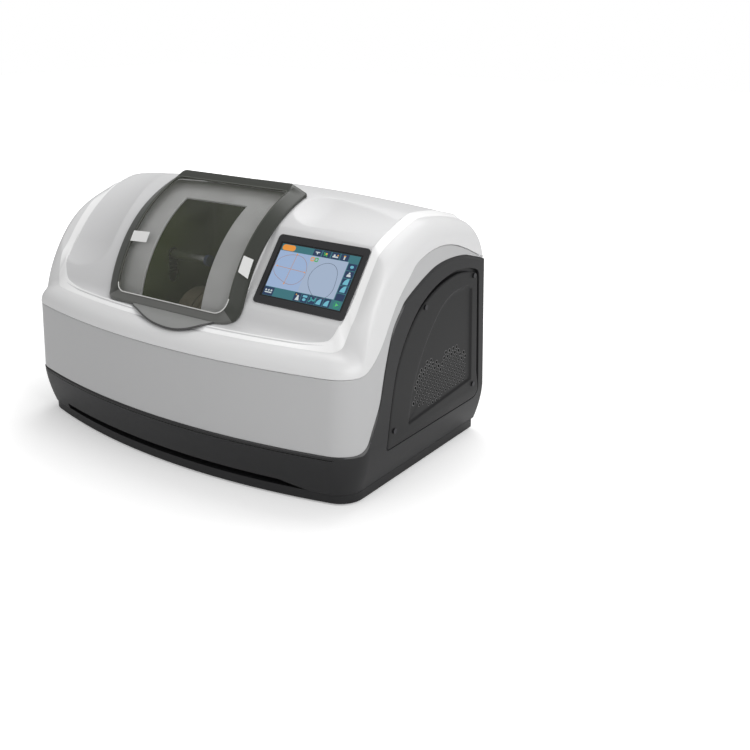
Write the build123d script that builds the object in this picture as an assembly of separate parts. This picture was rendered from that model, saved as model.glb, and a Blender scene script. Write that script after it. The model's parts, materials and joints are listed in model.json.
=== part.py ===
from build123d import *
import os
from math import acos, asin, atan2, cos, degrees, hypot, pi, radians, sin, sqrt, tan

os.makedirs("parts", exist_ok=True)

# Table-top optical lens edger. Millimetres, +Z up, the operator stands at -Y.
# The drawing's origin is on the table, midway between the machine's sides. The pieces are
# saved with the origin moved back, to lie below the middle of the machine and its hose spigots.
origin_y = 14.5

# ------------------------------------------------------------ casing, outside
body_width = 580.0          # over the side walls at the parting line
front_reach = 181.0         # from the origin to the middle of the bowed front
rear_reach = 182.0          # from the origin to the rear wall at the parting line
front_bow = 43.0            # how far the front's middle stands before its ends
corner_radius = 46.0        # front corners seen from above
draft = 0.035               # walls lean in by this much for each mm of height
rear_draft = 0.045
wall = 3.0                  # moulded casings
sheet = 2.0                 # sheet metal
behind = 230.0              # a plane well behind the machine, for cutting shapes
above = 430.0               # a plane well above it

parting_height = 72.0       # black tray meets the grey fascia at the front
crease_height = 169.0       # grey fascia meets the white shell at the front
ledge_height = 198.0        # flat ledge of the deck, before the hood
rim_step = 3.0              # the rim stands this much above the deck
rim_width = 34.0            # from the outside wall to the deck's edge
rim_radius = 28.0           # rounding of the rim's shoulder
deck_edge_radius = 30.0     # front corners of the deck, seen from above
fascia_recess = 1.0         # the grey band lies this much inside its neighbours

# the deck's side view: a ledge, a round brow, and a top that falls to the rear
brow_radius = 199.0
brow_center_y = 78.8
brow_center_z = 150.6
brow_low_angle = 161.5      # from +Y, where the brow leaves the ledge's cove
brow_high_angle = 108.0     # where the brow runs into the flat top
top_height = 345.0
crown_drop = 15.0           # the top falls this much from the middle to the sides

# ------------------------------------------------------------ base
foot_height = 3.0
foot_radius = 14.0
plinth_height = 15.0
plinth_inset = 10.0
tray_floor = 3.0
chassis_top = 26.0
slot_height = 10.0          # finger recess above the plinth
slot_left = -215.0
slot_right = 186.0
slot_ramp = 42.0            # length of the recess's slanted right end
slot_depth = 24.0
tray_inset = 14.0           # the tray's convex wall leans in by this much at its foot
plinth_wall = 3.0
shelf_width = 42.0          # top flange of the pan's front, the floor of the finger recess
rear_opening = (262.0, 35.0, 240.0)     # half width, bottom and top of the rear opening

# the press lines of the top
scoop_x = -224.0
scoop_width = 118.0
scoop_depth = 11.0
scoop_foot_angle = 145.0
trough_left = 148.0
trough_low = (-28.0, 316.0)
trough_high = (40.0, 343.0)
trough_depth = 5.0

# ------------------------------------------------------------ covers and rear
cover_foot = 57.0
cover_thickness = 2.5
cover_gap = 0.8
vent_depth = 5.0
slot_pitch = 13.0
fan_x = 150.0
fan_z = 120.0
fan_bore = 38.0
fan_size = 80.0
fan_depth = 20.0
inlet_x = -190.0            # the power inlet, with the switch above it
inlet_z = 66.0
inlet_width = 28.0
inlet_height = 20.0
switch_z = 100.0
switch_width = 30.0
switch_height = 22.0
water_x = 20.0
drain_x = -60.0
service_z = 58.0            # height of both hose connections
water_radius = 8.0
drain_radius = 14.0
spigot_length = 30.0

# ------------------------------------------------------------ hood and chamber
opening_left = -85.0        # opening in the deck, over the processing chamber
opening_right = 27.0
opening_front = -113.0
opening_back = -15.0
hood_left = -142.0          # foot of the hood's flared frame
hood_right = 98.0
hood_flare = 17.0           # width of the slanted frame, wider on the left
hood_left_flare = 21.0
hood_foot_angle = 167.4     # where its foot ends, an angle about the brow's axis
hood_left_corner = 20.0     # corner radii of the foot
hood_right_corner = 34.0
hood_rise = 11.0            # pane above the deck
hood_gap = 1.0              # frame's foot above the deck
hood_wall = 2.5
hood_swing = 75.0
hinge_y = 33.0
hinge_z = 349.0
hinge_pin_radius = 2.5
hinge_places = (-74.0, 34.0)    # middle of each hinge lug
running_gap = 0.05          # radial clearance of every turning or sliding fit
clear = 0.5                 # least gap between things that move past each other

chamber_left = -104.0       # outside of the chamber tub
chamber_right = 46.0
chamber_front = -121.0
chamber_back = 58.0
chamber_floor = 96.0
chamber_wall = 3.0

grip_chord = 148.0          # half-moon lip at the hood's foot
grip_reach = 44.0
grip_x = -9.0
grip_line = [(-126, 209), (-137, 207), (-147, 205.8), (-156, 203.9),
             (-164, 200.5), (-170, 196.5), (-176, 191.2)]
grip_thickness = 2.6
nozzle_x = -5.0
nozzle_z = 222.0
drain_y = 20.0
drain_pipe_radius = 11.0
feeler_x = -28.0
feeler_y = 40.0
feeler_z = 268.0
feeler_length = 56.0

# ------------------------------------------------------------ display
screen_x = 177.0            # middle of the display
screen_width = 140.0
screen_height = 96.0
screen_low = (-103.0, 229.0)    # lower edge of the bezel's face, y and z
screen_tilt = 52.0              # from horizontal
bezel_thickness = 4.0
glass_width = 126.0
glass_height = 76.0
pocket_left = 15.0          # pocket wider than the bezel on the left, the top and the right
pocket_right = 4.0
display_depth = 18.0

# ------------------------------------------------------------ grinding spindle
spindle_y = -30.0
spindle_z = 155.0
shaft_radius = 8.0
wheel_radius = 48.0
motor_y = 70.0
motor_z = 78.0
motor_radius = 45.0
pulley_x = 96.0             # left face of both belt pulleys
pulley_width = 18.0
spindle_pulley_radius = 24.0
motor_pulley_radius = 17.0
belt_thickness = 3.0
belt_gap = 0.4

# ------------------------------------------------------------ lens carriage
lens_y = -30.0              # lens axis at rest, arm raised
lens_z = 245.0
arm_pivot_y = 105.0
arm_pivot_z = 225.0
arm_swing = 13.0            # degrees the arm comes down towards the wheels
pivot_radius = 8.0
rail_y = (88.0, 132.0)
rail_z = 150.0
rail_radius = 7.0
traverse = 24.0             # carriage travel each way along X
lens_shaft_radius = 7.0
left_arm_x = -142.0         # middle of each arm cheek
right_arm_x = 88.0
arm_thickness = 14.0
clamp_travel = 30.0
lens_plane_x = -28.0        # where the lens is held between the two pads
quill_radius = 10.0
yoke_rod = (38.0, 240.0)    # Y and Z of the rod that guides the quill's yoke
screw_radius = 5.0
screw_y = 110.0
rail_end = 246.0            # both ends of the rails
carriage_left = -168.0
carriage_right = 112.0
bearing_radius = 16.0
rocker_width = 20.0
rocker_height = 13.0


def box(low, high):
    """A block between two corners."""
    size = [b - a for a, b in zip(low, high)]
    middle = [(a + b) / 2 for a, b in zip(low, high)]
    return Pos(*middle) * Box(*size)


def rod(radius, x0, x1, y, z):
    """A round bar along X."""
    return Pos((x0 + x1) / 2, y, z) * Rot(0, 90, 0) * Cylinder(radius, x1 - x0)


def tube(outer, inner, x0, x1, y, z):
    return rod(outer, x0, x1, y, z) - rod(inner, x0 - 1, x1 + 1, y, z)


def post(radius, x, y, z0, z1):
    """A round bar along Z."""
    return Pos(x, y, (z0 + z1) / 2) * Cylinder(radius, z1 - z0)


def side_prism(points, x0, x1):
    """A straight-edged Y-Z outline carried along X from x0 to x1."""
    plane = Plane(origin=(x0, 0, 0), x_dir=(0, 1, 0), z_dir=(1, 0, 0))
    return extrude(plane * make_face(Polyline(*points, close=True)), x1 - x0)


def side_plate(face, x0, x1):
    plane = Plane(origin=(x0, 0, 0), x_dir=(0, 1, 0), z_dir=(1, 0, 0))
    return extrude(plane * face, x1 - x0)


def side_face(x, edges):
    plane = Plane(origin=(x, 0, 0), x_dir=(0, 1, 0), z_dir=(1, 0, 0))
    return plane * make_face(edges)


# ------------------------------------------------------------ casing surfaces

def plan_face(inset, height, corner=None):
    """The casing seen from above: bowed front, rounded front corners."""
    half = body_width / 2 - inset
    nose = -front_reach + inset
    shoulder = nose + front_bow
    outline = ThreePointArc((-half, shoulder), (0, nose), (half, shoulder))
    outline += Polyline((half, shoulder), (half, behind), (-half, behind), (-half, shoulder))
    face = make_face(outline)
    corners = face.vertices().sort_by(Axis.Y)[:2]
    radius = corner if corner else max(corner_radius - inset, 6)
    return Pos(0, 0, height) * fillet(corners, radius)


def wall_inset(height):
    return draft * (height - parting_height)


def rear_line(height):
    """Where the rear wall stands at a height."""
    return rear_reach - rear_draft * (height - parting_height)


def brow_point(angle, offset):
    radius = brow_radius + offset
    return (brow_center_y + radius * cos(radians(angle)), brow_center_z + radius * sin(radians(angle)))


def deck_points(offset, soft):
    """Points of the deck's side view moved out by an offset, each with its share of the crown."""
    ledge = ledge_height + offset
    start = [(-245, ledge, 0), (-190, ledge, 0), (-160, ledge, 0)]
    if soft > 1:
        start += [(-146, ledge + 0.7, 0), (-124, ledge + 13, 0)]
    else:
        start += [(-132, ledge, 0), (-119, ledge + 2.2, 0)]
    turns = 6
    step = (brow_low_angle - brow_high_angle - (7 if soft > 1 else 0)) / turns
    brow = []
    for k in range(turns + 1):
        y, z = brow_point(brow_high_angle + step * (turns - k), offset)
        share = min(max((y + 75) / 90, 0), 1)
        brow.append((y, z, share))
    rest = [(48, top_height, 1), (95, top_height - 5.5, 1), (135, top_height - 15.5, 1)]
    rest = [(y, z + offset, share) for y, z, share in rest]
    roll = [(160 + 0.75 * offset, top_height - 31 + 0.6 * offset, 0.9)]
    foot = top_height - 62
    roll += [(rear_line(foot) + offset, foot, 0.8)]
    return start + brow + rest + roll


def deck_section(x, offset, soft, low, invert=False):
    """Closed Y-Z face at x: the space below the deck, or above it."""
    fall = crown_drop * (2 * x / body_width) ** 2
    points = [(y, z - share * fall) for y, z, share in deck_points(offset, soft)]
    top = Spline(*points, tangents=((1, 0), (rear_draft, -1)))
    end = points[-1]
    if invert:
        loop = [Line((points[0][0], above), points[0]), top, Line(end, (end[0], low)),
                Line((end[0], low), (behind, low)), Line((behind, low), (behind, above)),
                Line((behind, above), (points[0][0], above))]
    else:
        foot = (end[0] + rear_draft * (end[1] - low), low)
        loop = [Line((points[0][0], low), points[0]), top, Line(end, foot), Line(foot, (points[0][0], low))]
    return side_face(x, Wire([part.edge() for part in loop]))


def under_deck(offset, soft, low=40.0):
    reach = body_width / 2 + 6
    return loft([deck_section(x, offset, soft, low) for x in (-reach, 0, reach)])


def rim_loop(body):
    """Edges where the front and side walls meet the top."""
    loop = []
    for edge in body.edges():
        space = edge.bounding_box()
        rear = space.size.X > body_width * 0.85 and space.center().Y > 0
        if space.min.Z > 150 and not rear:
            loop.append(edge)
    return loop


def walls(shrink, low=60.0, high=370.0):
    """The four drafted walls without a top, moved in by shrink."""
    return loft([plan_face(wall_inset(low) + shrink, low), plan_face(wall_inset(high) + shrink, high)])


def before_rear(shrink):
    """The space in front of the slanted rear wall, shrink inside its face."""
    foot = (rear_line(-10) - shrink, -10)
    head = (rear_line(above) - shrink, above)
    return side_prism([(-behind, -10), foot, head, (-behind, above)], -body_width, body_width)


def casing(shrink, offset, rounding):
    """The machine's outer form above the parting line, moved in by shrink."""
    body = walls(shrink) & under_deck(offset, 4)
    body = fillet(rim_loop(body), rounding)
    if shrink:
        body = body & before_rear(shrink)
    return body


def side_region(points, height, top):
    """All that lies above (or below) a boundary line drawn on the machine's side."""
    line = Spline((-behind, height), (-150, height), *points)
    level = above if top else -20
    loop = [line, Line(points[-1], (points[-1][0], level)),
            Line((points[-1][0], level), (-behind, level)), Line((-behind, level), (-behind, height))]
    face = side_face(-body_width, Wire([part.edge() for part in loop]))
    return extrude(face, 2 * body_width)


def above_crease():
    points = [(-118, crease_height), (-96, 177), (-74, 211), (-51, 252), (-26, 283), (14, 298),
              (60, 296), (112, 284), (172, 256), (behind, 222)]
    return side_region(points, crease_height, True)


def below_cheek():
    points = [(-122, parting_height), (-104, 84), (-82, 136), (-61, 197), (-12, 252), (60, 274),
              (120, 270), (172, 252), (behind, 220)]
    return side_region(points, parting_height, False)


def brow_plane(angle):
    """Plane through the brow's axis: local x runs along X, local y points out from the axis."""
    outward = Vector(0, cos(radians(angle)), sin(radians(angle)))
    return Plane(origin=(0, brow_center_y, brow_center_z), x_dir=(1, 0, 0),
                 z_dir=Vector(1, 0, 0).cross(outward))


def brow_sweep(face, turn):
    """Carries a face round the brow's axis, from the front up and over."""
    return revolve(face, Axis((0, brow_center_y, brow_center_z), (-1, 0, 0)), turn)


def brow_outline(angle, points):
    return brow_plane(angle) * make_face(Polyline(*points, close=True))


def scoop(grow):
    """The soft dish pressed into the deck left of the hood: part of a ring with a round end."""
    radius = (scoop_width / 2) ** 2 / (2 * scoop_depth) + scoop_depth / 2
    ring = brow_radius - scoop_depth + radius
    turn = scoop_foot_angle - 83
    face = brow_plane(scoop_foot_angle) * Pos(scoop_x, ring) * Circle(radius + grow)
    y, z = brow_point(scoop_foot_angle, ring - brow_radius)
    return brow_sweep(face, turn) + Pos(scoop_x, y, z) * Sphere(radius + grow)


def trough(grow):
    """The long shallow dish above the display, round at its left end."""
    run = trough_high[0] - trough_low[0]
    rise = trough_high[1] - trough_low[1]
    chord = hypot(run, rise)
    radius = chord ** 2 / (8 * trough_depth) + trough_depth / 2
    lift = radius - trough_depth
    y = (trough_low[0] + trough_high[0]) / 2 - lift * rise / chord
    z = (trough_low[1] + trough_high[1]) / 2 + lift * run / chord
    right = body_width / 2 - rim_width - 6 + grow
    return rod(radius + grow, trough_left, right, y, z) + Pos(trough_left, y, z) * Sphere(radius + grow)


def screen_plane(depth=0.0):
    """On the display's face: local x along X, local y up the slope, the normal outwards."""
    tilt = radians(screen_tilt)
    y = screen_low[0] + screen_height / 2 * cos(tilt)
    z = screen_low[1] + screen_height / 2 * sin(tilt)
    return Plane(origin=(screen_x, y + depth * sin(tilt), z - depth * cos(tilt)), x_dir=(1, 0, 0),
                 z_dir=(0, -sin(tilt), cos(tilt)))


def screen_block(width, height, front, back, radius=0.0, shift=0.0):
    """A plate parallel to the display, from front to back below its face."""
    outline = RectangleRounded(width, height, radius) if radius else Rectangle(width, height)
    return extrude(screen_plane(back) * Pos(shift, 0) * outline, back - front)


def deck_recess(grow):
    """The space above the deck and inside the rim."""
    low = 150.0
    inside = extrude(Pos(0, 0, low) * plan_face(rim_width - grow, 0, deck_edge_radius + grow), above - low)
    return inside - under_deck(-grow, 1)


def deck_cuts(grow):
    """Everything pressed or cut into the top, each moved out by grow."""
    width = screen_width + pocket_left + pocket_right + 2 * grow
    pocket = screen_block(width, screen_height + 9 + 2 * grow, -60, 1.5 + grow, 10,
                          (pocket_right - pocket_left) / 2)
    return [scoop(grow), trough(grow), pocket, deck_recess(grow)]


# ------------------------------------------------------------ casing parts

def make_top_shell():
    """White moulded shell: rim, deck, scoop, trough, display pocket and hood opening."""
    shell = casing(0, rim_step, rim_radius) & above_crease()
    for cut in deck_cuts(0):
        shell -= cut
    core = casing(wall, 0, rim_radius - 6)
    for cut in deck_cuts(wall):
        core -= cut
    shell -= core
    shell -= box((opening_left, opening_front, ledge_height - 20), (opening_right, opening_back, above))
    return shell - screen_block(screen_width + 1, screen_height + 1, -30, 40, 4)


def make_front_fascia():
    """Grey band between the white shell and the black base, round the front and up the sides."""
    band = walls(fascia_recess) - walls(fascia_recess + wall) - above_crease() - below_cheek()
    band = band & before_rear(wall)
    band = band & box((-body_width, -behind, parting_height), (body_width, behind, above))
    return band.solids().sort_by(SortBy.VOLUME)[-1]


def tray_form(shrink):
    """The convex wall under the parting line, down to the plinth."""
    levels = [parting_height - (parting_height - plinth_height) * k / 4 for k in range(5)]
    faces = []
    for level in levels:
        share = (parting_height - level) / (parting_height - plinth_height)
        faces.append(plan_face(tray_inset * share ** 1.7 + shrink, level))
    return loft(faces, ruled=True)


def slot_outline(grow):
    """The finger recess seen from the front, its right end slanted."""
    low, high = plinth_height - 2 - grow, plinth_height + slot_height + grow
    points = [(slot_left - grow, low), (slot_right + slot_ramp + grow, low),
              (slot_right + slot_ramp + grow, plinth_height), (slot_right + grow, high),
              (slot_left - grow, high)]
    plane = Plane(origin=(0, -behind, 0), x_dir=(1, 0, 0), z_dir=(0, -1, 0))
    return extrude(plane * make_face(Polyline(*points, close=True)), -behind)


def slot_space(grow):
    inner = extrude(plan_face(tray_inset + slot_depth + grow, 0), 60)
    return slot_outline(grow) - inner


def grown(points, grow):
    """A clockwise loop of points, each moved out by grow along its corner's bisector."""
    moved = []
    for k, (y, z) in enumerate(points):
        before, after = points[k - 1], points[(k + 1) % len(points)]
        first = Vector(y - before[0], z - before[1]).normalized()
        second = Vector(after[0] - y, after[1] - z).normalized()
        first, second = Vector(-first.Y, first.X), Vector(-second.Y, second.X)
        step = (first + second) * (grow / (1 + first.dot(second)))
        moved.append((y + step.X, z + step.Y))
    return moved


def side_outline(front, corners, grow=0.0):
    """An outline on the right side wall: a curved front edge, then straight sides."""
    loop = grown(front + corners, grow)
    front, corners = loop[:len(front)], loop[len(front):]
    sides = Polyline(front[-1], *corners, front[0])
    face = make_face([Spline(*front).edge()] + list(sides.edges()))
    return side_plate(face, body_width / 3, body_width)


def cover_outline(grow=0.0):
    front = [(-67, cover_foot), (-55, 117), (-37, 170), (2, 218), (49, 243), (100, 252.4), (134, 249)]
    return side_outline(front, [(158, 239), (166, cover_foot + 6), (160, cover_foot)], grow)


def vent_outline(grow=0.0):
    front = [(-16, 77), (-5, 119.5), (21, 166), (61, 208), (97, 224), (133, 225)]
    return side_outline(front, [(145, 219), (147, 89)], grow)


def base_form(shrink):
    """The base's outside: convex tray below the parting line, drafted walls above."""
    return (tray_form(shrink) + walls(shrink, parting_height, 300)) & before_rear(0)


def cover_skin(near, far):
    """The right side wall between two depths."""
    return (base_form(near) - base_form(far)) & box((body_width / 3, -behind, 0), (body_width, behind, above))


def both_sides(solid):
    return solid + mirror(solid, Plane.YZ)


def make_base_housing():
    """Black base: tray, cheeks rising at both sides and the rear wall's frame."""
    inside = (tray_form(wall) + walls(wall, parting_height, 300)) & before_rear(wall)
    inside = inside & box((-body_width, -behind, plinth_height + tray_floor), (body_width, behind, above))
    body = (base_form(0) & below_cheek()) - inside
    foot = box((-body_width, -behind, plinth_height), (body_width, 0, 60))
    body += slot_space(wall) & base_form(0) & foot
    body -= slot_space(0)
    half, low, high = rear_opening
    body -= box((-half, rear_reach - 30, low), (half, behind, high))
    body -= both_sides(cover_outline())
    seat = cover_skin(cover_thickness, cover_thickness + 2.5) & (cover_outline(3) - cover_outline(-8))
    return body + seat + mirror(seat, Plane.YZ)


def vent_slots():
    """Rows of slots that step back along the recess's slanted front edge."""
    slots = []
    for row in range(6):
        z = 97 + 8.5 * row
        first = 8 + 5 * row
        for k in range(int((140 - first) / slot_pitch)):
            y = first + slot_pitch * k
            slots.append(box((body_width / 3, y, z), (body_width, y + 8, z + 3.2)))
    return Compound(children=slots)


def make_side_cover():
    """Right-hand service cover with its sunken, slotted vent field."""
    body = cover_skin(0, cover_thickness) & cover_outline(-cover_gap)
    body += cover_skin(cover_thickness, vent_depth + 2) & vent_outline(2)
    body -= vent_outline() - base_form(vent_depth)
    return body - vent_slots()


def make_plinth():
    """Bottom pan under the tray."""
    outer = extrude(plan_face(plinth_inset + 2, foot_height), plinth_height - foot_height)
    inner = extrude(plan_face(plinth_inset + 2 + plinth_wall, foot_height + plinth_wall), plinth_height)
    rear = before_rear(8)
    pan = (outer & rear) - (inner & before_rear(8 + plinth_wall))
    shelf = extrude(plan_face(plinth_inset + 2, plinth_height - 3), 3)
    shelf -= extrude(plan_face(plinth_inset + 2 + shelf_width, 0), 60)
    pan += shelf & box((-body_width, -behind, 0), (body_width, 0, 60))
    for x, y in foot_places():
        pan -= post(5, x, y, 0, plinth_height)
    return pan


def foot_places():
    return [(x, y) for x in (-240, 240) for y in (-105, 150)]


def make_rubber_feet():
    feet = []
    for x, y in foot_places():
        plug = post(5, x, y, foot_height, foot_height + plinth_wall)
        feet.append(post(foot_radius, x, y, 0, foot_height) + plug)
    return Compound(children=feet)


def rear_plane(x, z):
    """On the rear panel's outside: local x towards -X, local y up, the normal outwards."""
    return Plane(origin=(x, rear_line(z) - wall, z), x_dir=(-1, 0, 0), z_dir=(0, 1, rear_draft))


def rear_hole(x, z, outline):
    return extrude(rear_plane(x, z) * Pos(0, 0, -10) * outline, 20)


def rear_solid(x, z, outline, near, far):
    """An outline on the rear panel carried from near to far along its outward normal."""
    return extrude(rear_plane(x, z) * Pos(0, 0, near) * outline, far - near)


def make_rear_panel():
    """Steel panel behind the rear opening, with a hole for every fitting."""
    half, low, high = rear_opening
    body = before_rear(wall) - before_rear(wall + sheet)
    body = body & box((-half - 6, 100, low - 6), (half + 6, behind, high + 6))
    body -= rear_hole(fan_x, fan_z, Circle(fan_bore))
    body -= rear_hole(inlet_x, inlet_z, Rectangle(inlet_width, inlet_height))
    body -= rear_hole(inlet_x, switch_z, Rectangle(switch_width, switch_height))
    body -= rear_hole(water_x, service_z, Circle(water_radius))
    body -= rear_hole(drain_x, service_z, Circle(drain_radius))
    return body


def make_case_screws():
    """Button-head screws: eight in the rear panel, four in each side cover."""
    half, low, high = rear_opening
    screws = []
    for x in (-half + 8, -half / 3, half / 3, half - 8):
        for z in (low + 8, high - 8):
            screws.append(rear_solid(x, z, Circle(4), 0, 2.2))
    for side in (-1, 1):
        for y, z in ((-50, 80), (152, 80), (150, 236), (24, 222)):
            x = side * (body_width / 2 - wall_inset(z - 3.5))
            near, far = sorted((x, x + side * 1.6))
            screws.append(rod(3.5, near, far, y, z))
    return Compound(children=screws)


# ------------------------------------------------------------ display

def make_display_bezel():
    body = screen_block(screen_width, screen_height, 0, 7, 5)
    flange = screen_block(screen_width + 7, screen_height + 7, 4.5, 7, 6) - trough(wall)
    body += flange & under_deck(-wall - 0.1, 1)
    return body - screen_block(glass_width, glass_height, -1, 8)


def make_display_glass():
    return screen_block(glass_width, glass_height, 0.8, 3)


def make_display_housing():
    body = screen_block(glass_width, glass_height, 3, 7)
    return body + screen_block(screen_width - 2, screen_height - 4, 7, display_depth, 6)


# ------------------------------------------------------------ hood

def hood_corners(inset):
    """Space that rounds both foot corners of the hood, the right one wider."""
    angle = hood_foot_angle - 0.55 * inset
    outward = Vector(0, cos(radians(angle)), sin(radians(angle)))
    plane = Plane(origin=(0, brow_center_y, brow_center_z), x_dir=(1, 0, 0), z_dir=outward)
    left, right = hood_left - 1 + 1.6 * inset, hood_right + 1 - 1.6 * inset
    face = make_face(Polyline((left, 0), (right, 0), (right, 500), (left, 500), close=True))
    low_left = [v for v in face.vertices() if abs(v.X - left) < 0.01 and abs(v.Y) < 0.01]
    face = fillet(low_left, hood_left_corner - 2 * inset)
    low_right = [v for v in face.vertices() if abs(v.X - right) < 0.01 and abs(v.Y) < 0.01]
    face = fillet(low_right, hood_right_corner - 2 * inset)
    return extrude(plane * face, above)


def hood_form(inset):
    """The hood as a solid wedge round the brow, its frame flared on three sides, moved in by inset."""
    low, high = brow_radius + hood_gap - 4, brow_radius + hood_rise - inset
    left, right = hood_left + inset * 1.6, hood_right - inset * 1.6
    foot_low, foot_high = brow_radius + 9, brow_radius + 20 - inset * 0.8
    section = [(left - 4, low), (left + hood_left_flare, high), (right - hood_flare, high), (right + 4, low)]
    foot = [(left, foot_low), (left + 2, foot_high), (right - 2, foot_high), (right, foot_low)]
    top_angle, low_angle = 107.5 + inset * 0.3, 162.2
    body = brow_sweep(brow_outline(low_angle, section), low_angle - top_angle)
    body += loft([brow_outline(low_angle, section), brow_outline(hood_foot_angle - inset * 0.55, foot)], ruled=True)
    return body & hood_corners(inset)


def hood_solid():
    body = hood_form(0) - hood_form(hood_wall)
    body += box((hood_left + hood_left_flare, 13, 340), (hood_right - hood_flare, 26, 352.6))
    body = body - under_deck(hood_gap, 1)
    return body & box((hood_left - 1, -behind, 0), (hood_right + 1, behind, above))


def hood_pane():
    """The space of the curved window."""
    low, high = brow_radius + hood_rise - hood_wall, brow_radius + hood_rise + 1
    left, right = hood_left + hood_left_flare + 1, hood_right - hood_flare - 1
    outline = [(left, low), (left, high), (right, high), (right, low)]
    return brow_sweep(brow_outline(161.6, outline), 161.6 - 109.5)


def make_hood_window():
    return hood_solid() & hood_pane()


def make_hood_frame():
    """Dark frame with the flare at both sides, the front lip and the hinge lugs."""
    frame = hood_solid() - hood_pane()
    for x in hinge_places:
        lug = box((x - 6, 24, 346), (x + 6, hinge_y, hinge_z + 3)) + rod(4.2, x - 6, x + 6, hinge_y, hinge_z)
        frame += lug - rod(hinge_pin_radius + running_gap, x - 7, x + 7, hinge_y, hinge_z)
    return frame


def make_hood_grip():
    """Half-moon lip that the finger lifts, bent down over the rim."""
    half = grip_chord / 2
    bow = ThreePointArc((-half, 0), (0, grip_reach), (half, 0)).edge()
    outline = make_face([bow, Line((half, 0), (-half, 0)).edge()])
    plan = Plane(origin=(grip_x, -129, 0), x_dir=(-1, 0, 0), z_dir=(0, 0, 1))
    top = Spline(*grip_line)
    low = Spline(*[(y, z - grip_thickness) for y, z in grip_line])
    ends = [Line(top @ 1, low @ 1), Line(low @ 0, top @ 0)]
    side = side_face(grip_x - half - 1, [top.edge(), ends[0].edge(), low.edge(), ends[1].edge()])
    sheet_form = extrude(side, grip_chord + 2)
    return (sheet_form & extrude(plan * outline, above)) - hood_form(0)


def make_hood_hinges():
    """For each lug two ears on the deck, with the pin through them."""
    hinges = []
    for x in hinge_places:
        hinge = rod(hinge_pin_radius, x - 11.5, x + 11.5, hinge_y, hinge_z)
        for low, high in ((x - 11.5, x - 6.5), (x + 6.5, x + 11.5)):
            hinge += box((low, hinge_y - 4, 338), (high, hinge_y + 13, hinge_z))
            hinge += rod(4.2, low, high, hinge_y, hinge_z)
        hinges.append(hinge - under_deck(0, 1))
    return Compound(children=hinges)


# ------------------------------------------------------------ wet chamber

def lens_slot(x0, x1, radius):
    """The path that a lens shaft sweeps while the arm comes down."""
    low_y, low_z = lens_axis(arm_swing)
    path = box((x0, lens_y - radius, low_z), (x1, lens_y + radius, lens_z))
    return path + rod(radius, x0, x1, lens_y, lens_z) + rod(radius, x0, x1, low_y, low_z)


def lens_axis(swing):
    """Where the lens axis is with the arm lowered by swing degrees."""
    dy, dz = lens_y - arm_pivot_y, lens_z - arm_pivot_z
    turn = radians(swing)
    return (arm_pivot_y + dy * cos(turn) - dz * sin(turn), arm_pivot_z + dy * sin(turn) + dz * cos(turn))


def rounded_well(inset, low):
    width = chamber_right - chamber_left - 2 * inset
    depth = chamber_back - chamber_front - 2 * inset
    x, y = (chamber_right + chamber_left) / 2, (chamber_back + chamber_front) / 2
    return extrude(Pos(x, y, low) * RectangleRounded(width, depth, 14 - inset), above - low)


def make_chamber_liner():
    """Plastic tub round the wheels, closed against the deck, with slots for the lens shafts."""
    tub = rounded_well(0, chamber_floor) & under_deck(-wall, 1)
    tub -= rounded_well(chamber_wall, chamber_floor + chamber_wall)
    left = (chamber_left - 5, chamber_left + 10)
    right = (chamber_right - 10, chamber_right + 5)
    tub -= lens_slot(*left, lens_shaft_radius + 2.5)
    tub -= lens_slot(*right, lens_shaft_radius + 2.5)
    tub -= rod(shaft_radius + 1.5, *right, spindle_y, spindle_z)
    tub -= Pos(nozzle_x, chamber_back, nozzle_z) * Rot(90, 0, 0) * Cylinder(5, 20)
    tub -= post(drain_pipe_radius, drain_x, drain_y, chamber_floor - 5, chamber_floor + 10)
    return tub


def make_chamber_frame():
    """Two bent plates that carry the tub."""
    legs = []
    for x, side in ((chamber_left + 8, 1), (chamber_right - 12, -1)):
        leg = box((x, -100, chassis_top), (x + 4, 40, chamber_floor))
        foot = sorted((x + 2 + side * 2, x + 2 + side * 20))
        legs.append(leg + box((foot[0], -100, chassis_top), (foot[1], 40, chassis_top + 3)))
    return Compound(children=legs)


def make_chamber_lamp():
    return box((chamber_right - 7, -100, 200), (chamber_right - chamber_wall, -58, 212))


def make_spray_nozzle():
    """Water pipe through the tub's rear wall, its mouth over the wheels."""
    pipe = Pos(nozzle_x, 54, nozzle_z) * Rot(90, 0, 0) * (Cylinder(5, 50) - Cylinder(3, 60))
    head = Pos(nozzle_x, 27, nozzle_z) * Rot(90, 0, 0) * (Cylinder(7, 8) - Cylinder(3, 10))
    return pipe + head


def make_drain_pipe():
    """Pipe from the tub's floor down and back to the outlet."""
    path = FilletPolyline((drain_x, drain_y, chamber_floor), (drain_x, drain_y, service_z),
                          (drain_x, rear_reach, service_z), radius=24)
    start = Plane(origin=(drain_x, drain_y, chamber_floor), z_dir=(0, 0, -1))
    pipe = sweep(start * (Circle(drain_pipe_radius) - Circle(drain_pipe_radius - 2.5)), path)
    pipe = pipe & before_rear(wall + sheet)
    return pipe + post(drain_pipe_radius, drain_x, drain_y, chamber_floor, chamber_floor + chamber_wall) - post(
        drain_pipe_radius - 2.5, drain_x, drain_y, chamber_floor - 2, chamber_floor + 5)


def feeler_ear(x0, x1):
    ear = box((x0, feeler_y, feeler_z - 6), (x1, chamber_back - chamber_wall, feeler_z + 6))
    return ear + rod(6, x0, x1, feeler_y, feeler_z)


def make_feeler_bracket():
    """Two ears on the tub's rear wall with the measuring arm's pin."""
    near = feeler_x - 12
    far = feeler_x + 12
    body = feeler_ear(near, near + 5.5) + feeler_ear(far - 5.5, far)
    return body + rod(2.5, near, far, feeler_y, feeler_z)


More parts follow.
